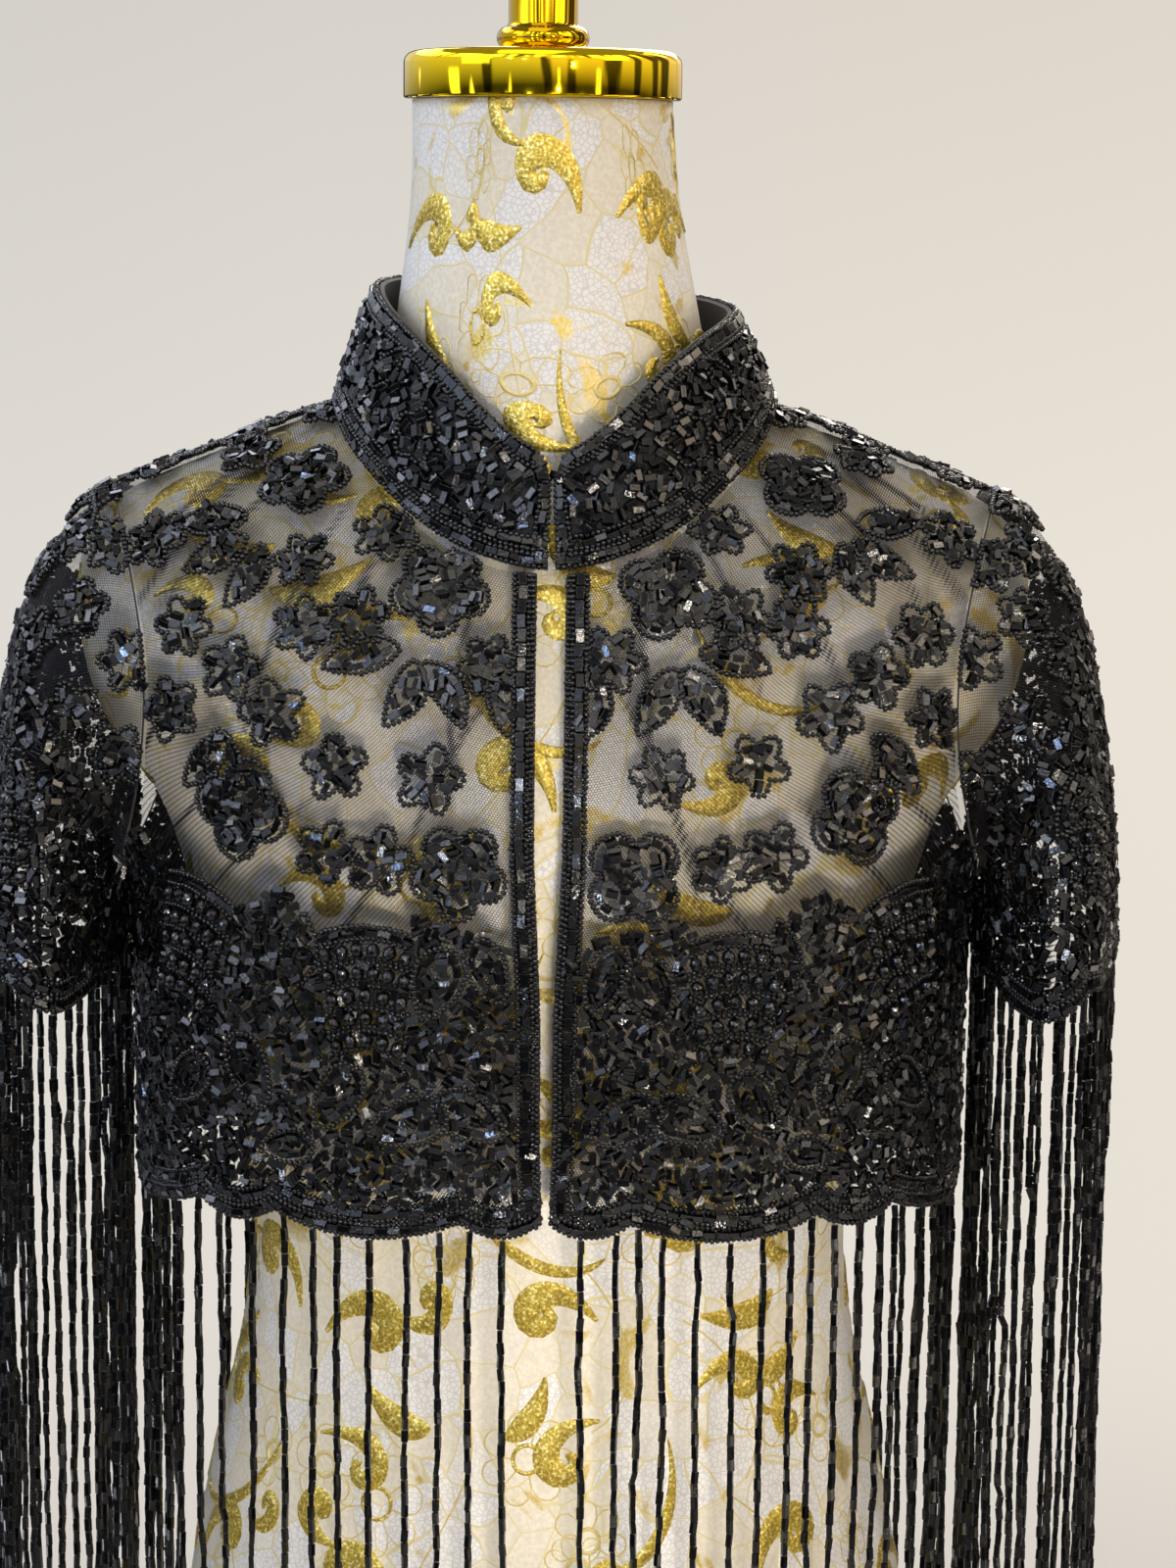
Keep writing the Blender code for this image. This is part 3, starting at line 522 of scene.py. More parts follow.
NET_THREAD_HEX = "#151416"
TULLE_CELL = 0.0012
NET_REST, NET_LIFT = 0.0007, 0.00015
NECK_SIDE, NECK_FRONT, NECK_BACK = 0.0940, 0.0895, 0.083
SHOULDER_TIP, UNDERARM_DROP, ARMHOLE_INSET = 0.190, 0.330, 0.018
HEM_DROP, HEM_BORDER, SCALLOP_DEPTH, EDGE_BAND = 0.464, 0.016, 0.010, 0.011
HEM_TURNING, TURNED_IN_SHARE = 0.0145, 0.75
SCALLOPS = {"front": (0.035, 0.083, 0.040, 0.095), "back": (0.040, 0.083, 0.040, 0.090)}
BODY_RINGS = (  # drop, half width, front, back, front power, back power
    (0.126, 0.0720, 0.0120, 0.0760, 2.0, 1.7), (0.132, 0.0955, 0.0220, 0.0830, 2.0, 1.7),
    (0.137, 0.1110, 0.0310, 0.0845, 2.0, 1.7), (0.144, 0.1310, 0.0410, 0.0865, 2.0, 1.7),
    (0.153, 0.1520, 0.0520, 0.0890, 2.0, 1.7), (0.163, 0.1800, 0.0630, 0.0920, 2.0, 1.8),
    (0.171, 0.1970, 0.0700, 0.0945, 2.0, 1.9), (0.182, 0.2090, 0.0790, 0.0970, 2.1, 2.0),
    (0.195, 0.2145, 0.0890, 0.0995, 2.2, 2.1), (0.212, 0.2160, 0.0980, 0.1020, 2.3, 2.2),
    (0.240, 0.2130, 0.1095, 0.1045, 2.3, 2.3), (0.280, 0.2000, 0.1200, 0.1065, 2.4, 2.4),
    (0.320, 0.1865, 0.1265, 0.1080, 2.4, 2.4), (0.335, 0.1835, 0.1275, 0.1084, 2.4, 2.4),
    (0.380, 0.1815, 0.1255, 0.1075, 2.4, 2.4), (0.420, 0.1810, 0.1225, 0.1060, 2.4, 2.4),
    (0.480, 0.1810, 0.1205, 0.1050, 2.4, 2.4),
)  # fmt: skip
FRONT_EDGE = (
    (0.190, 0.0060), (0.300, 0.0058), (0.340, 0.0042), (0.380, 0.0026), (0.440, 0.0024), (0.480, 0.0010)
)  # fmt: skip

# Creases of the net, by distance from the middle and drop at each end: these run down and outwards
# from the neck and the shoulder, and across from the bust to the side.
Crease = namedtuple("Crease", "x0 drop0 x1 drop1 width height")
FRONT_CREASES = (
    Crease(0.095, 0.150, 0.168, 0.222, 0.0040, 0.0016), Crease(0.104, 0.142, 0.188, 0.200, 0.0032, 0.0011),
    Crease(0.080, 0.166, 0.128, 0.262, 0.0045, 0.0013), Crease(0.066, 0.182, 0.088, 0.242, 0.0030, 0.0009),
    Crease(0.120, 0.150, 0.196, 0.246, 0.0036, 0.0010), Crease(0.030, 0.196, 0.040, 0.290, 0.0034, 0.0010),
    Crease(0.020, 0.232, 0.064, 0.330, 0.0040, 0.0012), Crease(0.112, 0.262, 0.172, 0.318, 0.0042, 0.0014),
    Crease(0.094, 0.282, 0.160, 0.352, 0.0036, 0.0010), Crease(0.056, 0.300, 0.108, 0.400, 0.0050, 0.0011),
    Crease(0.150, 0.240, 0.182, 0.300, 0.0030, 0.0012), Crease(0.014, 0.340, 0.030, 0.440, 0.0040, 0.0010),
    Crease(0.140, 0.340, 0.176, 0.430, 0.0050, 0.0014),
)  # fmt: skip
BACK_CREASES = (
    Crease(0.090, 0.140, 0.150, 0.214, 0.0042, 0.0014), Crease(0.070, 0.150, 0.100, 0.250, 0.0036, 0.0010),
    Crease(0.030, 0.150, 0.036, 0.260, 0.0030, 0.0008), Crease(0.120, 0.150, 0.192, 0.232, 0.0036, 0.0012),
    Crease(0.110, 0.262, 0.176, 0.330, 0.0045, 0.0014), Crease(0.050, 0.270, 0.120, 0.366, 0.0040, 0.0009),
    Crease(0.160, 0.250, 0.186, 0.312, 0.0032, 0.0011), Crease(0.006, 0.250, 0.020, 0.400, 0.0040, 0.0009),
    Crease(0.130, 0.350, 0.172, 0.436, 0.0050, 0.0012),
)  # fmt: skip


def smooth_line(stations, values):
    """A function through the given stations, with no overshoot between them."""
    xs, ys = np.array(stations, float), np.array(values, float)
    steps = np.diff(ys) / np.diff(xs)
    slopes = np.concatenate([steps[:1], np.zeros(len(xs) - 2), steps[-1:]])
    for i in range(1, len(xs) - 1):
        before, after = steps[i - 1], steps[i]
        if before * after > 0:
            slopes[i] = 2 * before * after / (before + after)

    def value(x):
        i = np.clip(np.searchsorted(xs, x) - 1, 0, len(xs) - 2)
        width = xs[i + 1] - xs[i]
        t = np.clip((x - xs[i]) / width, 0, 1)
        start = (1 + 2 * t) * (1 - t) ** 2 * ys[i] + t * (1 - t) ** 2 * width * slopes[i]
        return start + t * t * (3 - 2 * t) * ys[i + 1] - t * t * (1 - t) * width * slopes[i + 1]

    return value


def blend(a, b, share):
    return a + (b - a) * share


def ease(t):
    t = np.clip(t, 0, 1)
    return t * t * (3 - 2 * t)


def find(condition, low, high, like):
    """Where a condition turns from false to true between low and high, for each member of an array."""
    low, high = np.full(np.shape(like), low), np.full(np.shape(like), high)
    for _ in range(30):
        middle = (low + high) / 2
        met = condition(middle)
        low, high = np.where(met, low, middle), np.where(met, middle, high)
    return high


def ring_lines(names, rings):
    """A smooth line for each named column of a table of rings, along its first column."""
    stations, *columns = zip(*rings)
    return {name: smooth_line(stations, column) for name, column in zip(names.split(), columns)}


BODY = ring_lines("half_width front back front_power back_power", BODY_RINGS)
front_edge = smooth_line(*zip(*FRONT_EDGE))
NECK_CAP_FOOT = cap_low.z


def body_point(face, drop, turn):
    """A point of the body cloth: turn runs from 0 in the middle to 1 at the side seam."""
    power = BODY[face + "_power"](drop)
    angle = turn * math.pi / 2
    x = BODY["half_width"](drop) * np.sin(angle) ** (2 / power)
    depth = BODY[face](drop) * np.abs(np.cos(angle)) ** (2 / power)
    y = (-1 if face == "front" else 1) * (depth + NET_LIFT)
    return np.stack(np.broadcast_arrays(x, y, NECK_CAP_FOOT - drop), -1)


def turn_at(face, drop, x):
    """The turn at which the body cloth is this far from the middle."""
    share = np.clip(x / BODY["half_width"](drop), 0, 1)
    return np.arcsin(share ** (BODY[face + "_power"](drop) / 2)) * 2 / math.pi


def drop_under(face, x, depth):
    """The drop at which the body cloth reaches this far out and this deep."""
    def reached(drop):
        power = BODY[face + "_power"](drop)
        return (x / BODY["half_width"](drop)) ** power + (depth / BODY[face](drop)) ** power <= 1

    return find(reached, BODY_RINGS[0][0], UNDERARM_DROP, x)


def neckline_drop(face, share):
    """The drop of the neckline, at a share of the way from the middle to the side."""
    angle = share * math.pi / 2
    deep = NECK_FRONT if face == "front" else NECK_BACK
    return drop_under(face, NECK_SIDE * np.sin(angle), deep * np.cos(angle))


def shoulder_drop(x):
    """The drop of the shoulder seam at a distance from the middle."""
    return find(lambda drop: BODY["half_width"](drop) >= x, 0.126, 0.20, x)


def armhole(face, share):
    """(drop, turn) of the armhole edge, from the tip of the shoulder to the underarm."""
    down = (1 - np.cos(share * math.pi)) / 2
    drop = blend(shoulder_drop(np.full(np.shape(share), SHOULDER_TIP)), UNDERARM_DROP, down)
    x = blend(SHOULDER_TIP, BODY["half_width"](UNDERARM_DROP), down)
    turn = turn_at(face, drop, x - ARMHOLE_INSET * np.sin(share * math.pi) ** 2)
    return drop, np.where((share <= 0) | (share >= 1), 1.0, turn)


def scallop(face, share):
    """How far the scalloped hem hangs below its notches at a share of its length."""
    ends = np.concatenate([[0.0], np.cumsum(SCALLOPS[face])]) / sum(SCALLOPS[face])
    i = np.clip(np.searchsorted(ends, share, side="right") - 1, 0, 3)
    across = (share - ends[i]) / (ends[i + 1] - ends[i])
    depth = SCALLOP_DEPTH * (0.55 + 0.45 * np.array(SCALLOPS[face])[i] / max(SCALLOPS[face]))
    return depth * np.clip(np.sin(math.pi * across), 0, 1) ** 0.7


def along(points, distances):
    """Points at the given distances along a line of points."""
    lengths = np.concatenate([[0.0], np.cumsum(np.linalg.norm(np.diff(points, axis=0), axis=1))])
    return np.stack([np.interp(distances, lengths, points[:, k]) for k in range(3)], axis=1)


def line_length(points):
    return np.linalg.norm(np.diff(points, axis=0), axis=1).sum()


# Where the side edge of a panel turns from shoulder to armhole to side seam to hem border.
SHOULDER_END, ARMHOLE_END, BORDER_START, HEM_ROW = 3, 13, 17, 18


def half_panel(face, count, columns):
    """A front, or half the back: rows from the neck to the hem, of points from its middle outwards."""
    row = np.linspace(0, HEM_ROW, count)[:, None]
    on_arm = np.clip((row - SHOULDER_END) / (ARMHOLE_END - SHOULDER_END), 0, 1)
    on_shoulder = np.clip(row / SHOULDER_END, 0, 1)
    shoulder = shoulder_drop(blend(NECK_SIDE, SHOULDER_TIP, on_shoulder))
    arm_drop, arm_turn = armhole(face, on_arm)
    border_drop = HEM_DROP - HEM_BORDER
    seam = blend(UNDERARM_DROP, border_drop, (row - ARMHOLE_END) / (BORDER_START - ARMHOLE_END))
    side = np.where(row <= BORDER_START, seam, HEM_DROP - (HEM_ROW - row) * HEM_BORDER)
    end_drop = np.where(row <= SHOULDER_END, shoulder, np.where(row <= ARMHOLE_END, arm_drop, side))
    end_turn = np.where((row > SHOULDER_END) & (row < ARMHOLE_END), arm_turn, 1.0)
    neck = neckline_drop(face, np.zeros(1))[0]
    middle_drop = np.minimum(blend(neck, border_drop, row / BORDER_START), HEM_DROP)
    start_turn = turn_at(face, middle_drop, front_edge(middle_drop)) if face == "front" else 0 * row
    start, finish = body_point(face, middle_drop, start_turn), body_point(face, end_drop, end_turn)
    share = np.linspace(0, 1, 61)[None, :]
    sweep = np.radians(blend(90, 50, on_shoulder))
    level = ease((row - SHOULDER_END) / 5)
    x = blend(start[..., 0], finish[..., 0], np.sin(share * sweep) / np.sin(sweep))
    swept = (np.cos(share * sweep) - np.cos(sweep)) / (1 - np.cos(sweep))
    y = blend(finish[..., 1], start[..., 1], swept)
    swept_drop = drop_under(face, np.maximum(x, 0), np.maximum(np.abs(y) - NET_LIFT, 0))
    swept_turn = turn_at(face, swept_drop, np.maximum(x, 0))
    drop = blend(swept_drop, blend(middle_drop, end_drop, share**2), level)
    turn = blend(swept_turn, blend(start_turn, end_turn, share), level)
    lines = body_point(face, drop, np.clip(turn, 0, 1))
    shares = np.linspace(0, 1, columns)
    rows = np.array([along(line, shares * line_length(line)) for line in lines])
    level_hem = NECK_CAP_FOOT - end_drop - scallop(face, shares)[None, :]
    rows[..., 2] = blend(rows[..., 2], level_hem, np.clip(row - (BORDER_START - 1), 0, 1))
    return rows


def grid_faces(rows, columns, closed=False, flipped=False):
    """The quads of a grid of points, closed across its columns or turned over."""
    i, j = np.meshgrid(np.arange(rows - 1), np.arange(columns if closed else columns - 1), indexing="ij")
    a, b = i * columns + j, i * columns + (j + 1) % columns
    faces = np.stack([a, b, b + columns, a + columns], -1).reshape(-1, 4)
    return faces[:, ::-1] if flipped else faces


def outward(rows, flipped, closed=False):
    """The outward direction at each point of a grid."""
    if closed:
        rows = np.concatenate([rows[:, -1:], rows, rows[:, :1]], axis=1)
    normals = np.cross(np.gradient(rows, axis=1), np.gradient(rows, axis=0))
    if closed:
        normals = normals[:, 1:-1]
    normals /= np.linalg.norm(normals, axis=-1)[..., None] + 1e-15
    return -normals if flipped else normals


def creased(rows, out, creases):
    """(rows lifted into their creases, how much each point stands in one)."""
    x, drop = np.abs(rows[..., 0]), NECK_CAP_FOOT - rows[..., 2]
    lift, share = np.zeros(x.shape), np.zeros(x.shape)
    for crease in creases:
        run = np.array((crease.x1 - crease.x0, crease.drop1 - crease.drop0))
        t = ((x - crease.x0) * run[0] + (drop - crease.drop0) * run[1]) / (run @ run)
        bow = 0.05 * np.sin(math.pi * np.clip(t, 0, 1)) * np.linalg.norm(run)
        off = ((x - crease.x0) * run[1] - (drop - crease.drop0) * run[0]) / np.linalg.norm(run) - bow
        taper = np.sin(math.pi * np.clip(t, 0, 1)) ** 0.6
        bell = np.exp(-((off / crease.width) ** 2)) * taper
        lift += crease.height * bell
        share = np.maximum(share, np.exp(-((off / 0.0011) ** 2)) * taper)
    return rows + out * lift[..., None], share


class Cloth(Surface):
    """A piece of cloth as rows of points, on which beads are sewn."""

    def __init__(self, rows, flipped, closed=False):
        self.rows, self.flipped, self.closed = rows, flipped, closed
        self.faces = grid_faces(*rows.shape[:2], closed, flipped)
        super().__init__(rows.reshape(-1, 3), self.faces)

    def beside(self, edge, distance):
        """A line of points this far in from the hem, the top, the start or the end."""
        lines = self.rows if edge in ("start", "end") else self.rows.transpose(1, 0, 2)
        if edge in ("hem", "end"):
            lines = lines[:, ::-1]
        return np.array([along(line, [distance])[0] for line in lines])


def net_piece(name, cloth, fold):
    """The net as one layer of faces, with its flat size as UVs in metres and its creases as an attribute."""
    count, columns = cloth.rows.shape[:2]
    made = mesh_piece(name, cloth.rows.reshape(-1, 3), cloth.faces, black_tulle)
    mesh = made.data
    across = np.linalg.norm(np.diff(cloth.rows, axis=1, append=cloth.rows[:, :1]), axis=-1)
    down = np.linalg.norm(np.diff(cloth.rows, axis=0, prepend=cloth.rows[:1]), axis=-1).cumsum(0)
    u = np.concatenate([np.zeros((count, 1)), across.cumsum(1)], 1) + 1
    corners = np.array([loop.vertex_index for loop in mesh.loops])
    i, j = corners // columns, corners % columns
    first = corners[np.repeat(np.arange(len(mesh.polygons)) * 4, 4)]
    wraps = (j == 0) & (np.repeat(
        np.array([max(c % columns for c in p.vertices) for p in mesh.polygons]), 4
    ) == columns - 1) & cloth.closed  # fmt: skip
    uv = mesh.uv_layers.new(name="cut")
    places = np.stack([u[i, np.where(wraps, columns, j)], down[i, j] + 1], 1)
    uv.data.foreach_set("uv", places.astype(np.float32).ravel())
    turned_in = down[-1] - down < HEM_TURNING
    if "front" in name:
        turned_in |= across[:, :columns].cumsum(1) < EDGE_BAND
    fold = np.maximum(fold, TURNED_IN_SHARE * turned_in)
    mesh.attributes.new("fold", "FLOAT", "POINT").data.foreach_set("value", fold.astype(np.float32).ravel())
    return made


# Nylon tulle: hexagonal holes between fine round threads, seen as a soft grey veil that darkens where
# it is folded. The cell is its real size; its threads are drawn a little thick so that they show.
black_tulle, tree, shader = new_material("nylon_tulle", Roughness=0.5)
cut = add_node(tree, "UVMap", uv_map="cut")
HEXAGON, SLANT = (1.0, 1.7320508, 1.0), (0.5, 0.8660254, 0)
scaled = add_node(
    tree, "VectorMath", {1: (1 / TULLE_CELL, 1 / TULLE_CELL, 0), 0: cut}, operation="MULTIPLY"
)
centres = []
for shift in (0.0, 0.5):
    moved = add_node(tree, "VectorMath", {1: tuple(shift * h for h in HEXAGON), 0: scaled}, operation="ADD")
    wrapped = add_node(tree, "VectorMath", {1: HEXAGON, 0: moved}, operation="MODULO")
    centred = add_node(tree, "VectorMath", {1: SLANT, 0: wrapped}, operation="SUBTRACT")
    centres.append(add_node(tree, "VectorMath", {1: (1, 1, 0), 0: centred}, operation="MULTIPLY"))
reaches = [add_node(tree, "VectorMath", {0: c}, "Value", operation="LENGTH") for c in centres]
nearer = add_node(tree, "Math", {0: reaches[0], 1: reaches[1]}, operation="LESS_THAN")
own = add_node(tree, "Mix", {0: nearer, 4: centres[1], 5: centres[0]}, 1, data_type="VECTOR")
folded = add_node(tree, "VectorMath", {0: own}, operation="ABSOLUTE")
slanted = add_node(tree, "VectorMath", {1: SLANT, 0: folded}, "Value", operation="DOT_PRODUCT")
upright = add_node(tree, "SeparateXYZ", {0: folded})
to_thread = add_node(tree, "Math", {0: slanted, 1: upright}, operation="MAXIMUM")
fold = add_node(tree, "Attribute", output="Fac", attribute_name="fold")
inner_edge = add_node(tree, "MapRange", {"To Min": 0.415, "To Max": 0.14, "Value": fold})
thread = add_node(tree, "Math", {0: to_thread, 1: inner_edge}, operation="GREATER_THAN")
fill_inputs(
    tree, shader, {"Base Color": linear(NET_THREAD_HEX), "Specular IOR Level": 0.2, "Alpha": thread}
)

nets = {}
ROWS, COLUMNS = 109, 91
for side, way in (("left", 1), ("right", -1)):
    rows = half_panel("front", ROWS, COLUMNS) * (way, 1, 1)
    out = outward(rows, way > 0)
    jittered = [
        crease._replace(
            x0=crease.x0 + 0.004 * way * math.sin(37 * i), drop1=crease.drop1 + 0.006 * way * math.cos(23 * i)
        )
        for i, crease in enumerate(FRONT_CREASES)
    ]
    rows, fold_share = creased(rows + out * NET_REST, out, jittered)
    nets["front_" + side] = Cloth(rows, way > 0)
    net_piece("net_front_" + side, nets["front_" + side], fold_share)
half = half_panel("back", ROWS, COLUMNS)
rows = np.concatenate([half[:, :0:-1], half * (-1, 1, 1)], axis=1)
out = outward(rows, True)
rows, fold_share = creased(rows + out * NET_REST, out, BACK_CREASES)
nets["back"] = Cloth(rows, True)
net_piece("net_back", nets["back"], fold_share)

# ---- Sleeves ---------------------------------------------------------------------------------------
# Two short bell sleeves of the same tulle, each one piece round the arm, eased into the armhole and
# sewn under the arm. Their beads make them stand away from the side in a few soft upright folds.

SLEEVE_RINGS = (  # along, top out, top drop, under out, under drop, front, back, tilt
    (0.00, 0.1905, 0.1675, 0.1885, 0.3300, 0.0755, 0.0715, 0.000),
    (0.14, 0.2085, 0.1735, 0.1885, 0.3360, 0.0690, 0.0650, 0.000),
    (0.28, 0.2205, 0.1915, 0.1895, 0.3420, 0.0740, 0.0700, 0.002),
    (0.48, 0.2310, 0.2240, 0.1905, 0.3500, 0.0820, 0.0780, 0.006),
    (0.70, 0.2385, 0.2680, 0.1915, 0.3560, 0.0875, 0.0835, 0.012),
    (0.86, 0.2430, 0.3060, 0.1920, 0.3600, 0.0905, 0.0865, 0.016),
    (1.00, 0.2455, 0.3440, 0.1925, 0.3640, 0.0900, 0.0860, 0.020),
)
SLEEVE_FOLDS = (  # angle round the sleeve, where along it it starts, half width in degrees, height
    (22, 0.30, 9, 0.0020), (58, 0.15, 7, 0.0016), (97, 0.35, 10, 0.0024), (131, 0.20, 8, 0.0016),
    (215, 0.30, 9, 0.0018), (251, 0.15, 8, 0.0022), (290, 0.40, 10, 0.0018), (334, 0.25, 7, 0.0015),
)  # fmt: skip
SLEEVE = ring_lines("top_out top_drop under_out under_drop front back tilt", SLEEVE_RINGS)


def sleeve_point(share, angle):
    """Points of the sleeve: share is 0 at the armhole and 1 at the hem, angle runs from its top forwards."""
    ring = {name: value(share) for name, value in SLEEVE.items()}
    turned = np.radians(angle)
    up, side = (1 + np.cos(turned)) / 2, np.sin(turned)
    x = blend(ring["under_out"], ring["top_out"], up)
    drop = blend(ring["under_drop"], ring["top_drop"], up) + ring["tilt"] * side
    y = -side * np.where(side > 0, ring["front"], ring["back"])
    free = np.stack(np.broadcast_arrays(x, y, NECK_CAP_FOOT - drop), -1)
    front_share, back_share = np.clip(angle / 180, 0, 1), np.clip((360 - angle) / 180, 0, 1)
    seam = np.where(
        (angle <= 180)[..., None],
        body_point("front", *armhole("front", front_share)),
        body_point("back", *armhole("back", back_share)),
    )
    under = ease((1 - np.cos(turned)) / 2) ** 2
    seam[..., 0] += blend((3 + 3 * np.abs(side)) * 0.0003, 0.0036, under)
    return blend(seam, free, ease(share / 0.4)[..., None])


def sleeve_rows(count, columns):
    share, angle = np.meshgrid(
        np.linspace(0, 1, count), np.arange(columns) * 360 / columns, indexing="ij"
    )
    rows = sleeve_point(share, angle)
    wave = np.abs(np.sin(np.radians(angle) * 2.5)) ** 0.7
    rows[..., 2] -= 0.008 * wave * np.clip((share - 0.78) / 0.12, 0, 1)
    out = outward(rows, False, True)
    lift, fold_share = np.zeros(share.shape), np.zeros(share.shape)
    for middle, start, width, height in SLEEVE_FOLDS:
        off = (angle - middle - 9 * (share - start) + 180) % 360 - 180
        grown = ease((share - start) / 0.5)
        lift += height * np.exp(-((off / width) ** 2)) * grown
        fold_share = np.maximum(fold_share, np.exp(-((off / (0.22 * width)) ** 2)) * grown * 0.7)
    return rows + out * (NET_REST + lift[..., None]), fold_share


for side, way in (("left", 1), ("right", -1)):
    rows, fold_share = sleeve_rows(55, 108)
    nets["sleeve_" + side] = Cloth(rows * (way, 1, 1), way < 0, closed=True)
    net_piece("net_sleeve_" + side, nets["sleeve_" + side], fold_share)

# ---- Collar ----------------------------------------------------------------------------------------
# A stand collar of two layers of black silk-like cloth over stiff interlining, cut as one strip and
# bagged out. It leans outwards, and its ends round away from the throat. Its foot holds the neckline.

COLLAR_RIM = (
    (1.5, 0.1570), (3.5, 0.1490), (7.0, 0.1435), (11.0, 0.1405), (21.0, 0.1300), (38.0, 0.1100),
    (60.0, 0.0945), (90.0, 0.0850), (135.0, 0.0810), (180.0, 0.0800),
)  # fmt: skip
COLLAR_CLOTH = 0.0020
rim_drop = smooth_line(*zip(*COLLAR_RIM))


def collar_point(side, angle, up):
    """Points of the collar's inner side: angle runs from 0 at the front to 180, up from 0 to 1."""
    turned_by = blend(0.9 + 1.6 * up, 180, angle / 180)
    a = np.radians(turned_by)
    front = turned_by <= 90
    share = np.where(front, turned_by, 180 - turned_by) / 90
    foot_drop = np.where(front, neckline_drop("front", share), neckline_drop("back", share)) - 0.0021
    deep, top_deep = np.where(front, NECK_FRONT, NECK_BACK), np.where(front, 0.079, 0.077)
    swell = 0.001 * np.sin(math.pi * up)
    x = side * (blend(NECK_SIDE - 0.001, 0.0745, up) + swell) * np.sin(a)
    y = -(blend(deep - 0.001, top_deep, up) + swell) * np.cos(a)
    top_drop = rim_drop(turned_by) + 0.066 * x * np.minimum(turned_by / 90, 1) ** 2
    return np.stack([x, y, NECK_CAP_FOOT - blend(foot_drop, top_drop, up)], -1)


ends_close = 180 * (np.linspace(0, 1, 72) ** 1.35)
angles = np.concatenate([ends_close, ends_close[-2::-1]])
sides = np.concatenate([np.ones(72), -np.ones(71)])
up, angle = np.meshgrid(np.linspace(0, 1, 22), angles, indexing="ij")
inner_rows = collar_point(np.broadcast_to(sides, up.shape), angle, up)
outer_rows = inner_rows + outward(inner_rows, False) * COLLAR_CLOTH
count, columns = up.shape
rim = [*range(columns), *range(2 * columns - 1, count * columns, columns)]
rim += [*range(count * columns - 2, (count - 1) * columns - 1, -1)]
rim += [*range((count - 2) * columns, 0, -columns)]
rim = np.array(rim)
behind = count * columns
edge_faces = np.stack([np.roll(rim, -1), rim, rim + behind, np.roll(rim, -1) + behind], 1)
faces = np.concatenate(
    [grid_faces(count, columns), grid_faces(count, columns, flipped=True) + behind, edge_faces]
)
points = np.concatenate([outer_rows.reshape(-1, 3), inner_rows.reshape(-1, 3)])

# Black crepe over interlining: a dull fine-ribbed weave, near black, that shows only between beads.
black_crepe, tree, shader = new_material("black_polyester_crepe", Roughness=0.72)
place = add_node(tree, "TexCoord", output="Object")
weave = add_node(tree, "TexVoronoi", {"Scale": 1400.0, "Randomness": 0.5, "Vector": place})
crepe_mix = add_node(
    tree, "Mix", {MIX_A: linear("#09090B"), MIX_B: linear("#161518"), 0: weave}, MIX_COLOUR,
    data_type="RGBA",
)
bump = add_node(tree, "Bump", {"Strength": 0.6, "Distance": 0.0003, "Height": weave})
fill_inputs(tree, shader, {"Base Color": crepe_mix, "Normal": bump, "Sheen Weight": 0.3})

collar_piece = mesh_piece("collar_cloth", points, faces, black_crepe)
collar_piece.data.set_sharp_from_angle(angle=math.radians(50))
nets["collar"] = Cloth(outer_rows, False)

# ---- Hook and eye ----------------------------------------------------------------------------------
# A small hook of bent steel wire, black enamelled, sewn behind the right end of the collar's foot and
# caught in a wire eye behind the left end. It is the only fastening.

enamelled_wire, tree, shader = new_material("black_enamelled_steel_wire", Roughness=0.28, Metallic=0.0)
place = add_node(tree, "TexCoord", output="Object")
wear = add_node(tree, "TexNoise", {"Scale": 1500.0, "Vector": place})
wire_mix = add_node(
    tree, "Mix", {MIX_A: linear("#0B0B0C"), MIX_B: linear("#2A2A2C"), 0: wear}, MIX_COLOUR, data_type="RGBA"
)
fill_inputs(tree, shader, {"Base Color": wire_mix})
for name in ("collar_hook", "collar_eye"):
    fastener = frame["nodes"][name]
    fastener.data.materials.clear()
    fastener.data.materials.append(enamelled_wire)

# ---- Seams -----------------------------------------------------------------------------------------
# The tulle is turned in and oversewn at the shoulders, round the armholes and under the arms, so each
# seam reads as one dark cord, a little over a millimetre thick.

SEAM_RADIUS = 0.00045


def tube(store, line, radius, sides=6, closed=False):
    """A round cord along a line of points, its rings turned with the line and its ends closed."""
    line = np.asarray(line, float)
    heading = np.roll(line, -1, 0) - np.roll(line, 1, 0) if closed else np.gradient(line, axis=0)
    heading /= np.linalg.norm(heading, axis=1)[:, None] + 1e-15
    first = np.cross(heading, (0.03, 0.05, 1.0))
    first /= np.linalg.norm(first, axis=1)[:, None] + 1e-15
    second = np.cross(heading, first)
    turn = np.arange(sides) * 2 * math.pi / sides
    start = sum(len(v) for v in store[0])
    ring = first[:, None] * np.cos(turn)[None, :, None] + second[:, None] * np.sin(turn)[None, :, None]
    store[0].append((line[:, None] + ring * radius).reshape(-1, 3))
    count = len(line)
    for i in range(count if closed else count - 1):
        for j in range(sides):
            a, b = start + i * sides + j, start + i * sides + (j + 1) % sides
            c, d = start + (i + 1) % count * sides + (j + 1) % sides, start + (i + 1) % count * sides + j
            store[1].append((a, b, c, d))
    if not closed:
        store[1].append(tuple(range(start, start + sides))[::-1])
        store[1].append(tuple(start + (count - 1) * sides + j for j in range(sides)))


ON_SHOULDER = slice(int(SHOULDER_END / HEM_ROW * ROWS) + 1)
seams = {}
for side, way in (("left", 1), ("right", -1)):
    ring = nets["sleeve_" + side].rows[0]
    edge = nets["front_" + side].rows[:, -1]
    seams[side] = ([], [])
    tube(seams[side], ring, SEAM_RADIUS, closed=True)
    tube(seams[side], edge[ON_SHOULDER], SEAM_RADIUS)
    tube(seams[side], edge[int(ARMHOLE_END / HEM_ROW * ROWS) :], SEAM_RADIUS)

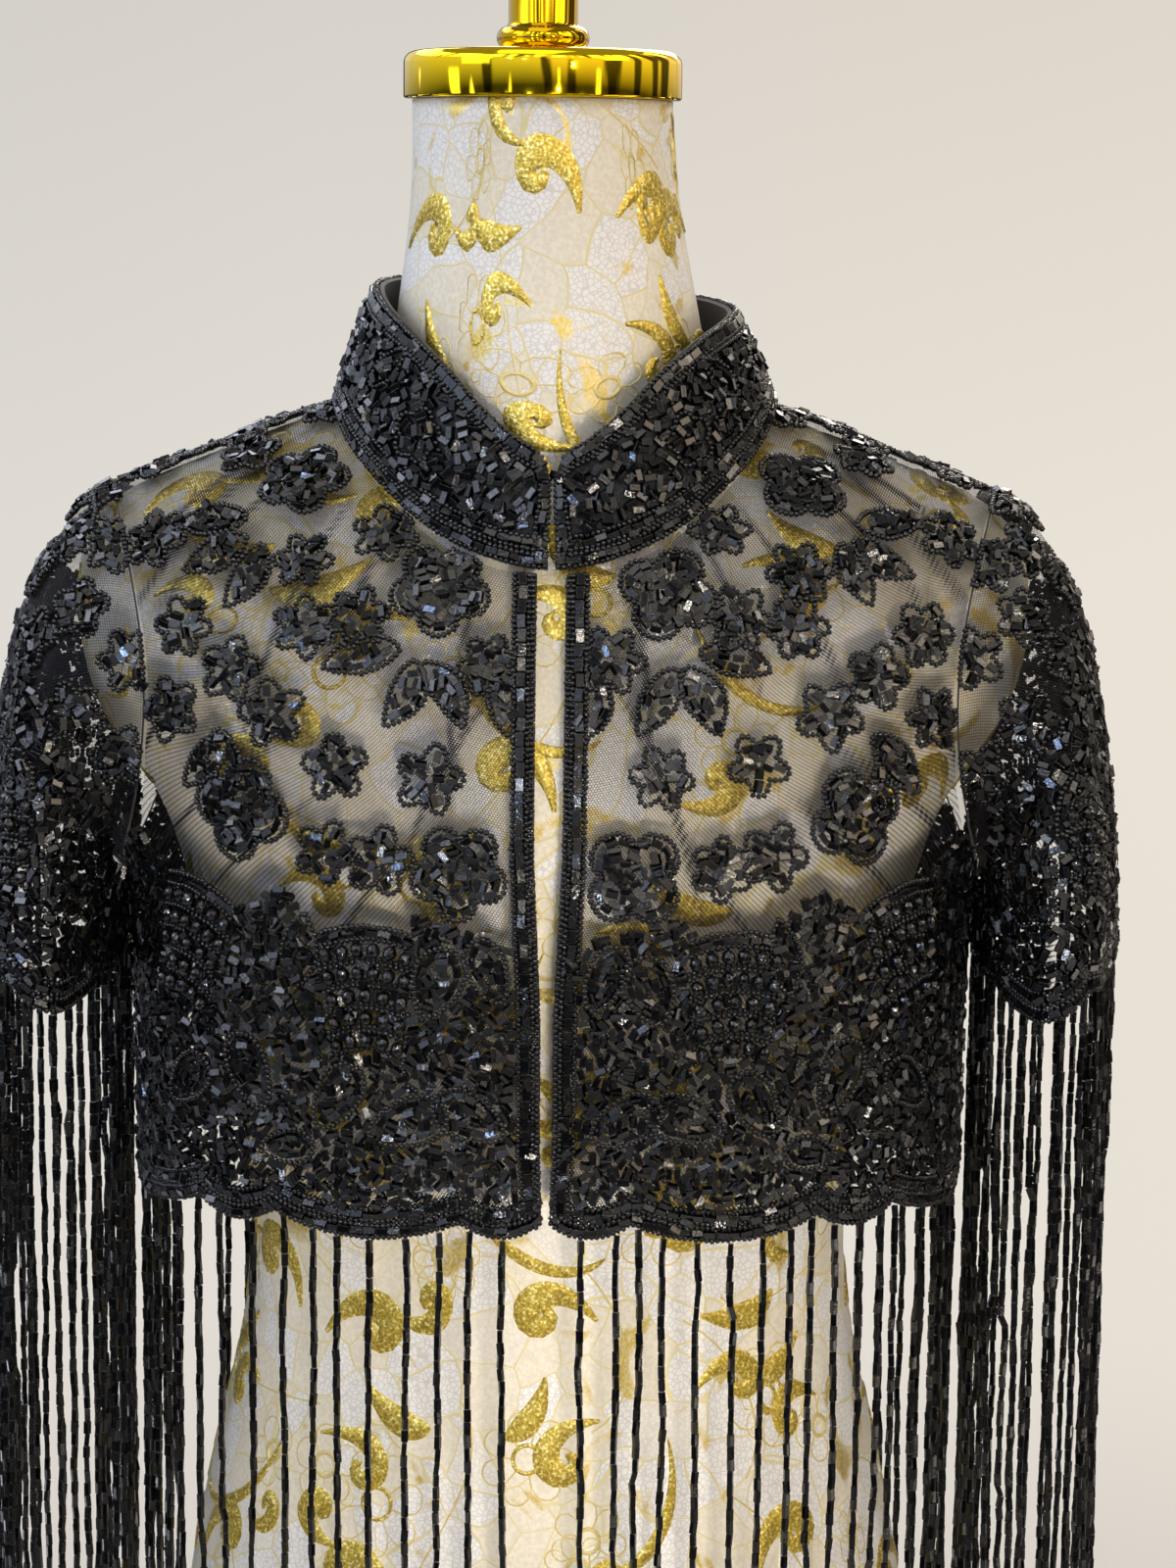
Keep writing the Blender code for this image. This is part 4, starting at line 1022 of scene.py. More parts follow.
# ---- Bead embroidery -------------------------------------------------------------------------------
# Black glass beads couched to the net with black thread: short hexagonal bugles, round seeds and
# larger faceted rounds. Flowers, leaves and fans are outlined in seeds and filled with bugles, thinly
# over the chest and thickly in a border at the hem.

SEED_RADIUS, SEED_PITCH = 0.00152, 0.0023
BUGLE_RADIUS, BUGLE_LENGTH, BUGLE_PITCH = 0.00192, 0.0049, 0.0053
BROAD_RADIUS, BROAD_LENGTH, BROAD_PITCH = 0.00238, 0.0056, 0.0061
ROUND_RADIUS, ROUND_PITCH = 0.0033, 0.0069
BLACK_GLASS_HEXES = ("#030304", "#050608", "#07080C", "#0D0A08")

# Black pressed glass: a deep gloss black with hard bright glints on its facets. Beads of one batch
# differ a little in colour, from blue black to brown black, and in polish.
black_glass, tree, shader = new_material("black_pressed_glass", IOR=1.52)
island = add_node(tree, "NewGeometry", output="Random Per Island")
batch = add_node(tree, "ValToRGB", {"Fac": island})
set_stops(batch, *zip((0, 0.45, 0.8, 1), BLACK_GLASS_HEXES))
scrambled = add_node(tree, "Math", {1: 17.3, 0: island}, operation="MULTIPLY")
polish = add_node(tree, "Math", {0: scrambled}, operation="FRACT")
polish_range = add_node(tree, "MapRange", {"To Min": 0.04, "To Max": 0.17, "Value": polish})
place = add_node(tree, "TexCoord", output="Object")
mould = add_node(tree, "TexNoise", {"Scale": 900.0, "Vector": place})
worn = add_node(tree, "Bevel", {"Radius": 0.00045}, samples=4)
bump = add_node(tree, "Bump", {"Strength": 0.25, "Distance": 0.0003, "Height": mould, "Normal": worn})
glass = {"Base Color": batch, "Roughness": polish_range, "Normal": bump, "Specular IOR Level": 0.48}
fill_inputs(tree, shader, glass)

sewing = bpy.data.node_groups.new("sewn_beads", "GeometryNodeTree")
sewing.interface.new_socket(name="Threaded", in_out="INPUT", socket_type="NodeSocketGeometry")
for name, kind in (
    ("Round", "NodeSocketBool"), ("Sides", "NodeSocketInt"), ("Radius", "NodeSocketFloat"),
    ("Length", "NodeSocketFloat"), ("Facets", "NodeSocketInt"), ("Spread", "NodeSocketFloat"),
    ("Tilt", "NodeSocketFloat"), ("Roll", "NodeSocketFloat"), ("Seed", "NodeSocketInt"),
    ("Smooth", "NodeSocketBool"), ("Glass", "NodeSocketMaterial"),
):  # fmt: skip
    sewing.interface.new_socket(name=name, in_out="INPUT", socket_type=kind)
sewing.interface.new_socket(name="Beads", in_out="OUTPUT", socket_type="NodeSocketGeometry")
given = add_node(sewing, "NodeGroupInput").node.outputs
cut_tube = add_node(
    sewing, "GeometryNodeMeshCylinder",
    {"Vertices": given["Sides"], "Radius": given["Radius"], "Depth": given["Length"]}, fill_type="NGON",
)
half_side = add_node(sewing, "Math", {0: math.pi, 1: given["Sides"]}, operation="DIVIDE")
face_up = add_node(sewing, "CombineXYZ", {"Z": half_side})
flat_up = add_node(sewing, "GeometryNodeTransform", {"Geometry": cut_tube, "Rotation": face_up})
ball = add_node(
    sewing, "GeometryNodeMeshIcoSphere", {"Radius": given["Radius"], "Subdivisions": given["Facets"]}
)
pressed = add_node(sewing, "GeometryNodeTransform", {"Scale": (1.0, 1.0, 0.86), "Geometry": ball})
one_bead = add_node(
    sewing, "GeometryNodeSwitch", {"Switch": given["Round"], "False": flat_up, "True": pressed},
    input_type="GEOMETRY",
)
polished = add_node(sewing, "GeometryNodeSetShadeSmooth", {0: one_bead, "Shade Smooth": given["Smooth"]})
hole = add_node(sewing, "GeometryNodeInputNamedAttribute", {"Name": "along"}, data_type="FLOAT_VECTOR")
out_of_cloth = add_node(sewing, "GeometryNodeInputNamedAttribute", {"Name": "up"}, data_type="FLOAT_VECTOR")
lying = add_node(
    sewing, "FunctionNodeAxesToRotation", {"Primary Axis": hole, "Secondary Axis": out_of_cloth},
    primary_axis="Z", secondary_axis="X",
)
most = add_node(sewing, "CombineXYZ", {"X": given["Tilt"], "Y": given["Tilt"], "Z": given["Roll"]})
least = add_node(sewing, "VectorMath", {"Scale": -1.0, 0: most}, operation="SCALE")
chance = add_node(
    sewing, "FunctionNodeRandomValue", {0: least, 1: most, "Seed": given["Seed"]}, data_type="FLOAT_VECTOR"
)
nudge = add_node(sewing, "FunctionNodeEulerToRotation", {"Euler": chance})
set_down = add_node(
    sewing, "FunctionNodeRotateRotation", {"Rotation": lying, "Rotate By": nudge}, rotation_space="LOCAL"
)
smallest = add_node(sewing, "Math", {0: 1.0, 1: given["Spread"]}, operation="SUBTRACT")
largest = add_node(sewing, "Math", {0: 1.0, 1: given["Spread"]}, operation="ADD")
size = add_node(
    sewing, "FunctionNodeRandomValue", {2: smallest, 3: largest, "Seed": given["Seed"]}, 1,
    data_type="FLOAT",
)
threaded = add_node(
    sewing, "GeometryNodeInstanceOnPoints",
    {"Points": given["Threaded"], "Instance": polished, "Rotation": set_down, "Scale": size},
)
real = add_node(sewing, "GeometryNodeRealizeInstances", {"Geometry": threaded})
glazed = add_node(sewing, "GeometryNodeSetMaterial", {"Geometry": real, "Material": given["Glass"]})
add_node(sewing, "NodeGroupOutput", {"Beads": glazed})
SEWING_INPUTS = {item.name: item.identifier for item in sewing.interface.items_tree}

BeadKind = namedtuple("BeadKind", "round sides radius length facets smooth spread tilt roll lift")
BEADS = {
    "seed": BeadKind(True, 3, SEED_RADIUS, 0.0, 1, True, 0.07, 0.22, 1.5, 0.0016),
    "bugle": BeadKind(False, 4, BUGLE_RADIUS, BUGLE_LENGTH, 1, False, 0.07, 0.14, 0.62, 0.0015),
    "broad": BeadKind(False, 4, BROAD_RADIUS, BROAD_LENGTH, 1, False, 0.05, 0.09, 0.20, 0.0017),
    "facet": BeadKind(True, 3, ROUND_RADIUS, 0.0, 2, False, 0.05, 0.3, 1.5, 0.0026),
    "strand": BeadKind(False, 4, 0.00160, 0.0053, 1, False, 0.05, 0.05, 1.5, 0.0),
}


def beads_made(name, kind, rows, seed):
    """One mesh of all the beads of a kind, from rows of centre, hole direction and outward direction."""
    rows = np.concatenate(rows)
    mesh = bpy.data.meshes.new(name)
    mesh.from_pydata([tuple(p) for p in rows[:, :3]], [], [])
    for title, part in (("along", rows[:, 3:6]), ("up", rows[:, 6:9])):
        held = mesh.attributes.new(title, "FLOAT_VECTOR", "POINT")
        held.data.foreach_set("vector", part.astype(np.float32).ravel())
    made = placed(name, mesh)
    sewn = made.modifiers.new("sewing", "NODES")
    sewn.node_group = sewing
    for title, value in {**BEADS[kind]._asdict(), "seed": seed, "glass": black_glass}.items():
        if title != "lift":
            sewn[SEWING_INPUTS[title.capitalize()]] = value
    return on_frame(evaluated(made), "black_beads")


def evenly(line, pitch, closed=False):
    """(centres, directions) at an even pitch along a line of points, half a pitch in from open ends."""
    line = np.asarray(line, float)
    if closed:
        line = np.concatenate([line, line[:1]])
    length = line_length(line)
    count = max(int(round(length / pitch)), 1)
    step = length / count
    places = (np.arange(count) + 0.5) * step
    lengths = np.concatenate([[0.0], np.cumsum(np.linalg.norm(np.diff(line, axis=0), axis=1))])

    def at(distances):
        return np.stack([np.interp(distances, lengths, line[:, k]) for k in range(line.shape[1])], 1)

    ahead = at(np.minimum(places + step / 2, length)) - at(np.maximum(places - step / 2, 0))
    return at(places), ahead


PITCH = {"seed": SEED_PITCH, "bugle": BUGLE_PITCH, "broad": BROAD_PITCH, "facet": ROUND_PITCH}

# The room a bead takes on the cloth: how far its two ends lie from its middle, and their radius. For
# most it is less than the bead's own size, so close neighbours cut into each other.
ROOM = {
    "seed": (0.0, 0.00120), "bugle": (0.00115, 0.00138), "broad": (0.0012, 0.0018), "facet": (0.0, 0.0031)
}  # fmt: skip
ROOM_CELL = 0.0047
PACKED, OVERLAID, OVERLAY_RISE = 0.94, 0.74, 0.0010
TRY_AREA = 2.6e-6


def within(points, outline):
    """Whether flat points lie within a closed outline."""
    x, y = points[:, :1], points[:, 1:]
    x0, y0 = outline.T
    x1, y1 = np.roll(outline, -1, 0).T
    crossed = ((y0 > y) != (y1 > y)) & (x < (x1 - x0) * (y - y0) / (y1 - y0 + 1e-15) + x0)
    return crossed.sum(1) % 2 == 1


class Embroidery:
    """The beads of one cloth. Designs are drawn as seen on the right of the garment, and mirrored."""

    def __init__(self, cloth, seed, mirror=False):
        self.cloth, self.mirror, self.rng = cloth, mirror, np.random.default_rng(seed)
        self.rows = {kind: [] for kind in ROOM}
        self.taken = {}

    def claim(self, kind, place, way, squeeze=PACKED):
        """Notes the room that a bead takes, if nothing else is there, and says whether it was free."""
        reach, radius = ROOM[kind]
        ends = [place + way * reach, place - way * reach] if reach else [place]
        found = []
        for x, y, z in ends:
            cell = (int((x + 1) / ROOM_CELL), int((y + 1) / ROOM_CELL), int((z + 1) / ROOM_CELL))
            found.append((cell, (x, y, z, radius)))
            for i in (cell[0] - 1, cell[0], cell[0] + 1):
                for j in (cell[1] - 1, cell[1], cell[1] + 1):
                    for k in (cell[2] - 1, cell[2], cell[2] + 1):
                        for ox, oy, oz, other in self.taken.get((i, j, k), ()):
                            near = squeeze * (radius + other)
                            if (ox - x) ** 2 + (oy - y) ** 2 + (oz - z) ** 2 < near * near:
                                return False
        for cell, end in found:
            self.taken.setdefault(cell, []).append(end)
        return True

    def laid_flat(self, places, along):
        """Places on the cloth, the directions turned flat against it, and its outward directions."""
        places, out = self.cloth.nearest(places)
        along = along - (along * out).sum(1)[:, None] * out
        return places, along / (np.linalg.norm(along, axis=1)[:, None] + 1e-12), out

    def sew(self, kind, places, along):
        """Single beads with their holes along these directions, where there is room for them."""
        places, along, out = self.laid_flat(places, along)
        kept = [self.claim(kind, place, way) for place, way in zip(places, along)]
        rows = np.concatenate([places + out * BEADS[kind].lift, along, out], 1)
        self.rows[kind].append(rows[kept])

    def string(self, kind, line, closed=False, rise=0.0):
        """Beads threaded end to end along a line, all of them kept."""
        places, along, out = self.laid_flat(*evenly(line, PITCH[kind], closed))
        places = places + np.cross(out, along) * self.rng.normal(0, 0.00016, len(places))[:, None]
        for place, way in zip(places, along):
            self.claim(kind, place, way)
        self.rows[kind].append(np.concatenate([places + out * (BEADS[kind].lift + rise), along, out], 1))

    def edging(self, edge, rows, part=slice(None)):
        """Rows of beads that follow an edge, as (kind, distance in from it)."""
        closed = self.cloth.closed and edge == "hem"
        for kind, distance in rows:
            self.string(kind, self.cloth.beside(edge, distance)[part], closed)

    def pack(self, kind, places, squeeze=PACKED, rise=0.0):
        """Beads set down at random angles wherever there is still room for them."""
        if not len(places):
            return
        places, out = self.cloth.nearest(places)
        across = np.cross((0, 0, 1), out) + (1e-6, 0, 0)
        across /= np.linalg.norm(across, axis=1)[:, None]
        up = np.cross(out, across)
        angles = self.rng.uniform(0, math.pi, len(places))
        rows = []
        for place, x, y, z, angle in zip(places, across, up, out, angles):
            for turn in (0.0, 1.05, 2.10):
                way = math.cos(angle + turn) * x + math.sin(angle + turn) * y
                if self.claim(kind, place, way, squeeze):
                    rows.append(np.concatenate([place + z * (BEADS[kind].lift + rise), way, z]))
                    break
        if rows:
            self.rows[kind].append(np.array(rows))

    def motif(self, spot, turned, drawing, size=1.0, seeds_over=0.0):
        """A flat drawing laid about a spot: strings of (kind, points, closed), single (kind, x, y, angle),
        and the outlines that are packed with bugles. Its seeds can be couched over the bugles round them."""
        flip = -1 if self.mirror else 1
        place, across, up, _ = self.cloth.axes(spot)
        strings, singles, filled = drawing
        for kind, flat, closed in strings:
            laid, _ = self.cloth.lay(np.asarray(flat) * (flip * size, size), spot, turned * flip)
            self.string(kind, laid, closed, seeds_over if kind == "seed" else 0.0)
        own = np.array([s[1:] for s in singles], float)
        if len(own):
            laid, _ = self.cloth.lay(own[:, :2] * (flip * size, size), spot, turned * flip)
            angle = np.radians(turned * flip + np.where(flip > 0, own[:, 2], 180 - own[:, 2]))
            along = np.cos(angle)[:, None] * across + np.sin(angle)[:, None] * up
            for kind in ROOM:
                own_kind = [i for i, s in enumerate(singles) if s[0] == kind]
                if own_kind:
                    self.sew(kind, laid[own_kind], along[own_kind])
        for outline in filled:
            low, high = outline.min(0), outline.max(0)
            tries = int(np.prod(high - low) / TRY_AREA)
            points = self.rng.uniform(low, high, (tries, 2))
            points = points[within(points, outline)]
            laid, _ = self.cloth.lay(points * (flip * size, size), spot, turned * flip)
            self.pack("bugle", laid)
            self.pack("bugle", laid[::2], OVERLAID, OVERLAY_RISE)

    def fill(self, inside, per_area=TRY_AREA):
        """Packs the part of the cloth that is inside, tried at random about once in this area."""
        rows = self.cloth.rows
        count, columns = rows.shape[:2]
        wrap = columns if self.cloth.closed else columns - 1
        beside = np.roll(rows, -1, 1)[:, :wrap]
        sides = np.linalg.norm(
            np.cross(beside[:-1] - rows[:-1, :wrap], rows[1:, :wrap] - rows[:-1, :wrap]), axis=-1
        )
        tries = int(sides.sum() / per_area)
        picked = self.rng.choice(sides.size, tries, p=(sides / sides.sum()).ravel())
        i, j = np.unravel_index(picked, sides.shape)
        k, f, g = (j + 1) % columns, self.rng.random(tries), self.rng.random(tries)
        top = blend(rows[i, j], rows[i, k], g[:, None])
        places = blend(top, blend(rows[i + 1, j], rows[i + 1, k], g[:, None]), f[:, None])
        places = places[inside(places, (i + f) / (count - 1), (j + g) / wrap)]
        self.pack("bugle", places)
        self.pack("bugle", places[::2], OVERLAID, OVERLAY_RISE)
        self.pack("seed", places[::4], 0.84)

    def finished(self, name, seed):
        """The pieces of this cloth's beads, one of each kind it has."""
        kinds = {kind: rows for kind, rows in self.rows.items() if rows}
        return [beads_made(f"{name}_{kind}s", kind, rows, seed) for kind, rows in kinds.items()]


def lobed(radius, lobes, depth, power=0.8, count=140, start=0.0):
    """A closed round-lobed outline."""
    turn = np.linspace(0, 2 * math.pi, count, endpoint=False)
    reach = radius * (1 - depth * (1 - np.abs(np.cos(lobes * turn / 2)) ** power))
    return np.stack([reach * np.cos(turn + start), reach * np.sin(turn + start)], 1)


def small_flower(rng, radius=0.0138):
    """Five or six petals, each with a pair of bugles side by side behind one that points inwards."""
    lobes = int(rng.integers(5, 7))
    outline = lobed(radius, lobes, rng.uniform(0.34, 0.42), rng.uniform(1.1, 1.6))
    singles = []
    for k in range(lobes):
        b = 360 * k / lobes + rng.uniform(-6, 6)
        c, s = math.cos(math.radians(b)), math.sin(math.radians(b))
        for off in (-0.125, 0.125):
            x, y = radius * (0.66 * c - off * s), radius * (0.66 * s + off * c)
            singles.append(("bugle", x, y, b + 60 * off + rng.uniform(-7, 7)))
        singles.append(("bugle", 0.27 * radius * c, 0.27 * radius * s, b))
    return [("seed", outline, True)], singles, [outline * 0.9]


def large_flower(rng, radius=0.0205):
    """Four or five round petals, lined with bugles along their outline and packed inside."""
    lobes = int(rng.integers(4, 6))
    outline = lobed(radius, lobes, 0.40, 0.62)
    ring = outline * (1 - 0.0034 / np.hypot(*outline.T).mean())
    return [("seed", outline, True), ("bugle", ring, True)], [], [outline * 0.86]


def leaf(length, width, bend=0.0):
    """A pointed leaf from its foot at the middle, along +x."""
    s = np.linspace(0, 1, 40)
    half = width / 2 * np.sin(math.pi * s**0.88) ** 0.85
    spine = bend * length * np.sin(math.pi * s)
    upper = np.stack([s * length, spine + half], 1)
    lower = np.stack([s * length, spine - half], 1)[::-1]
    outline = np.concatenate([upper, lower[1:-1]])
    strings = [("seed", outline, True)]
    line = np.stack([s * length, spine + np.maximum(half - 0.0029, 0.0016)], 1)[8:31]
    strings.append(("bugle", line, False))
    return strings, [], [outline]


def fan(width=0.040, rows=5):
    """Bowed rows of faceted rounds with pairs of seed rows between, open downwards."""
    strings = []
    for k in range(rows):
        half = width / 2 * (1 - 0.05 * k)
        x = np.linspace(-half, half, 20)
        y = -0.0098 * k + 0.0045 * (1 - (x / half) ** 2)
        strings.append(("facet", np.stack([x, y], 1), False))
        for gap in (0.0037, 0.0058) if k < rows - 1 else (0.0037,):
            strings.append(("seed", np.stack([x * 1.03, y - gap], 1), False))
    x = np.linspace(-width / 2, width / 2, 20)
    top = np.stack([x, 0.0042 + 0.0045 * (1 - (2 * x / width) ** 2)], 1)
    strings += [("seed", top, False), ("bugle", top + (0, 0.0028), False), ("seed", top + (0, 0.0056), False)]
    return strings, [], []


def oval(length, width):
    """A paisley-like oval, lined with bugles inside its outline of seeds."""
    turn = np.linspace(0, 2 * math.pi, 90, endpoint=False)
    outline = np.stack([length / 2 * np.cos(turn), width / 2 * np.sin(turn) * (1 + 0.25 * np.cos(turn))], 1)
    ring = outline * np.array((1 - 0.0064 / length, 1 - 0.0064 / width))
    return [("seed", outline, True), ("bugle", ring, True)], [], [outline]


# The bound edge: seeds, bugles, two rows of seeds, bugles and seeds, which follow the scallops.
HEM_EDGING = (
    ("seed", 0.0011), ("bugle", 0.0035), ("seed", 0.0060),
    ("seed", 0.0081), ("bugle", 0.0106), ("seed", 0.0131),
)  # fmt: skip
FRONT_EDGING = (("seed", 0.0012), ("seed", 0.0033), ("broad", 0.0060), ("seed", 0.0089))
RIDGE_EDGING = (("seed", 0.0013), ("seed", 0.0036))
RIDGE_DISTANCE = 0.0100

# Places on a front and on each half of the back, by distance from the middle and drop. Leaves have
# their own angle, as seen on the garment's right front.
FRONT_LARGE = ((0.105, 0.160), (0.0475, 0.202), (0.127, 0.293), (0.036, 0.315))
FRONT_SMALL = (
    (0.132, 0.151), (0.071, 0.179), (0.103, 0.193), (0.102, 0.217), (0.078, 0.213), (0.024, 0.230),
    (0.134, 0.237), (0.114, 0.252), (0.154, 0.221), (0.168, 0.184), (0.087, 0.272), (0.048, 0.275),
    (0.093, 0.308), (0.070, 0.311), (0.160, 0.256),
)  # fmt: skip
FRONT_LEAVES = (
    (0.128, 0.178, 172), (0.126, 0.184, 214), (0.121, 0.186, 250), (0.062, 0.226, 196), (0.057, 0.230, 246),
    (0.052, 0.232, 300), (0.132, 0.262, 228), (0.140, 0.262, 282), (0.102, 0.366, 78), (0.014, 0.262, 100),
)  # fmt: skip
FANS = ((0.076, 0.352, 0), (0.147, 0.338, -16))
OVALS = (
    (0.044, 0.362, 70, 0.030, 0.020), (0.024, 0.356, 112, 0.028, 0.016), (0.059, 0.420, 20, 0.034, 0.020),
    (0.031, 0.418, 150, 0.032, 0.020), (0.088, 0.413, 60, 0.032, 0.018), (0.122, 0.404, 110, 0.034, 0.019),
    (0.152, 0.412, 40, 0.030, 0.018), (0.110, 0.436, 10, 0.024, 0.014),
)  # fmt: skip


def border_top(x):
    """The drop at which the thick border begins, at a distance from the middle."""
    wave = 0.006 * np.sin(x * 95 + 0.6) + 0.003 * np.sin(x * 210)
    return np.interp(x, (0.0, 0.06, 0.10, 0.15, 0.20), (0.342, 0.340, 0.336, 0.326, 0.312)) + wave


def sew_motifs(sewn, way, seen_from, large, small, leaves):
    """The motifs of one front or half the back, on the side this way, as seen from the front or back."""
    rng = sewn.rng

    def spot(from_middle, drop):
        jitter = rng.uniform(-0.002, 0.002, 2)
        place = way * (from_middle + jitter[0]), NECK_CAP_FOOT - drop - jitter[1]
        return sewn.cloth.facing(*place, seen_from)

    for x, drop in large:
        sewn.motif(spot(x, drop), rng.uniform(0, 90), large_flower(rng), rng.uniform(0.95, 1.04))
    for x, drop in small:
        sewn.motif(spot(x, drop), rng.uniform(0, 72), small_flower(rng), rng.uniform(0.94, 1.08))
    for x, drop, turned in leaves:
        if x > 0 or way > 0:
            drawing = leaf(rng.uniform(0.030, 0.034), rng.uniform(0.0135, 0.0165), rng.uniform(-0.1, 0.1))
            sewn.motif(spot(x, drop), turned + rng.uniform(-6, 6), drawing)
    for x, drop, turned in FANS:
        sewn.motif(spot(x, drop), turned, fan())
    for x, drop, turned, length, width in OVALS:
        sewn.motif(spot(x, drop), turned, oval(length, width), seeds_over=0.0015)


def sew_ridge(sewn, way, edge, places, first_leaf):
    """Flowers and leaves in turn along the shoulder seam, at distances from the middle."""
    line = sewn.cloth.beside(edge, RIDGE_DISTANCE)[ON_SHOULDER]
    for k, x in enumerate(places):
        drawing = leaf(0.026, 0.014) if k % 2 == first_leaf else small_flower(sewn.rng, 0.0115)
        nearest = np.argmin(np.abs(line[:, 0] - way * x))
        sewn.motif(line[nearest], sewn.rng.uniform(150, 200), drawing)


def in_border(places, along, across):
    return NECK_CAP_FOOT - places[:, 2] > border_top(np.abs(places[:, 0]))


work = {}
for side, way in (("right", -1), ("left", 1)):
    sewn = work["front_" + side] = Embroidery(nets["front_" + side], 7 + way, mirror=way > 0)
    sewn.edging("hem", HEM_EDGING)
    sewn.edging("start", FRONT_EDGING, slice(None, -int(0.034 * ROWS)))
    sew_motifs(sewn, way, 1, FRONT_LARGE, FRONT_SMALL, FRONT_LEAVES)
    sewn.edging("end", RIDGE_EDGING, ON_SHOULDER)
    sew_ridge(sewn, way, "end", (0.100, 0.118, 0.136, 0.154, 0.172), 1)
    sewn.fill(in_border)

BACK_LARGE = ((0.108, 0.168), (0.040, 0.206), (0.128, 0.286), (0.044, 0.300))
BACK_SMALL = (
    (0.136, 0.156), (0.076, 0.158), (0.018, 0.160), (0.078, 0.192), (0.112, 0.208), (0.150, 0.196),
    (0.014, 0.246), (0.140, 0.236), (0.084, 0.232), (0.104, 0.258), (0.166, 0.226), (0.072, 0.274),
    (0.158, 0.262), (0.096, 0.306), (0.014, 0.290), (0.172, 0.296),
)  # fmt: skip
BACK_LEAVES = (
    (0.066, 0.222, 200), (0.060, 0.228, 250), (0.056, 0.230, 305), (0.128, 0.178, 178), (0.126, 0.186, 222),
    (0.136, 0.258, 236), (0.118, 0.262, 290), (0.000, 0.330, 90), (0.020, 0.186, 100),
)  # fmt: skip
sewn = work["back"] = Embroidery(nets["back"], 31)
sewn.edging("hem", HEM_EDGING)
for way in (-1, 1):
    # Seen from behind, the garment's right is at the viewer's right, so the drawings turn over.
    sewn.mirror = way < 0
    sew_motifs(sewn, way, -1, BACK_LARGE, BACK_SMALL, BACK_LEAVES)
    sew_ridge(sewn, way, "end" if way < 0 else "start", (0.104, 0.124, 0.146, 0.168), 0)
sewn.fill(in_border)

# Sleeves are thickly beaded from below the shoulder to the hem. Places are (along, angle) there.
SLEEVE_SMALL = (
    (0.07, 14), (0.08, 344), (0.09, 46), (0.11, 78), (0.10, 312), (0.20, 2), (0.22, 30), (0.34, 22),
    (0.24, 58), (0.22, 332), (0.36, 340), (0.26, 304), (0.30, 84), (0.34, 276), (0.37, 48), (0.38, 318),
    (0.16, 108), (0.18, 252),
)  # fmt: skip
SLEEVE_LARGE = ((0.66, 18), (0.62, 300), (0.60, 110))
SLEEVE_LEAVES = ((0.54, 48, 250), (0.56, 62, 300), (0.58, 332, 280), (0.52, 260, 250), (0.60, 210, 270))
SLEEVE_FANS = ((0.68, 62, 8), (0.68, 345, -6), (0.66, 275, 10))


def sleeve_top(share):
    """How far along the sleeve its thick beading begins, at a share of the way round."""
    return 0.42 + 0.05 * np.sin(share * 2 * math.pi * 5 + 1) - 0.18 * (1 - np.cos(share * 2 * math.pi)) / 2


for side, way in (("right", -1), ("left", 1)):
    cloth = nets["sleeve_" + side]
    sewn = work["sleeve_" + side] = Embroidery(cloth, 51 + way, mirror=way > 0)
    rng = sewn.rng
    sewn.edging("hem", HEM_EDGING)
    count, columns = cloth.rows.shape[:2]

    def spot(share, angle):
        i = int(round(share * (count - 1)))
        return cloth.rows[i, int(round(angle / 360 * columns + rng.uniform(-0.6, 0.6))) % columns]

    for share, angle in SLEEVE_LARGE:
        sewn.motif(spot(share, angle), rng.uniform(0, 90), large_flower(rng), rng.uniform(0.92, 1.0))
    for share, angle in SLEEVE_SMALL:
        sewn.motif(spot(share, angle), rng.uniform(0, 72), small_flower(rng), rng.uniform(0.94, 1.06))
    for share, angle, turned in SLEEVE_LEAVES:
        sewn.motif(spot(share, angle), turned, leaf(0.032, 0.015, rng.uniform(-0.1, 0.1)))
    for share, angle, turned in SLEEVE_FANS:
        sewn.motif(spot(share, angle), turned, fan(0.034, 4))

    sewn.fill(lambda places, along, across: along > sleeve_top(across))

# The collar: bound like the hem along its foot, rim and ends, and filled with bugles over the crepe.
cloth = nets["collar"]
sewn = work["collar"] = Embroidery(cloth, 77)
heights = np.array([line_length(cloth.rows[:, j]) for j in range(cloth.rows.shape[1])])
RIM_EDGING = (("seed", 0.0012), ("bugle", 0.0036), *HEM_EDGING[2:])
for kind, distance in RIM_EDGING:
    tall = np.flatnonzero(heights > distance + 0.010)
    sewn.string(kind, cloth.beside("top", distance)[tall[0] : tall[-1] + 1])
sewn.edging("hem", (("seed", 0.0011), ("broad", 0.0038), ("seed", 0.0066), ("seed", 0.0087)), slice(2, -2))
for edge in ("start", "end"):
    sewn.edging(edge, (("seed", 0.0011), ("bugle", 0.0037), ("seed", 0.0062)), slice(1, -2))
for way in (-1, 1):
    sewn.mirror = way > 0
    for angle, up_share, drawing, turned in (
        (40, 0.52, "flower", 0), (62, 0.50, "leaf", 40), (84, 0.50, "flower", 20), (108, 0.5, "leaf", 130),
        (132, 0.5, "flower", 40), (158, 0.5, "flower", 10),
    ):  # fmt: skip
        j = int(np.argmin(np.abs(ends_close - angle)))
        column = j if way > 0 else cloth.rows.shape[1] - 1 - j
        place = cloth.rows[int(up_share * (len(cloth.rows) - 1)), column]
        outline = ("seed", lobed(0.0115, 5, 0.28), True) if drawing == "flower" else leaf(0.026, 0.012)[0][0]
        sewn.motif(place, turned, ([outline], [], []))
sewn.fill(lambda places, along, across: (along > 0.02) & (along < 0.98), 3.5e-6)

embroidered = {name: sewn.finished("beads_" + name, 100 + i) for i, (name, sewn) in enumerate(work.items())}

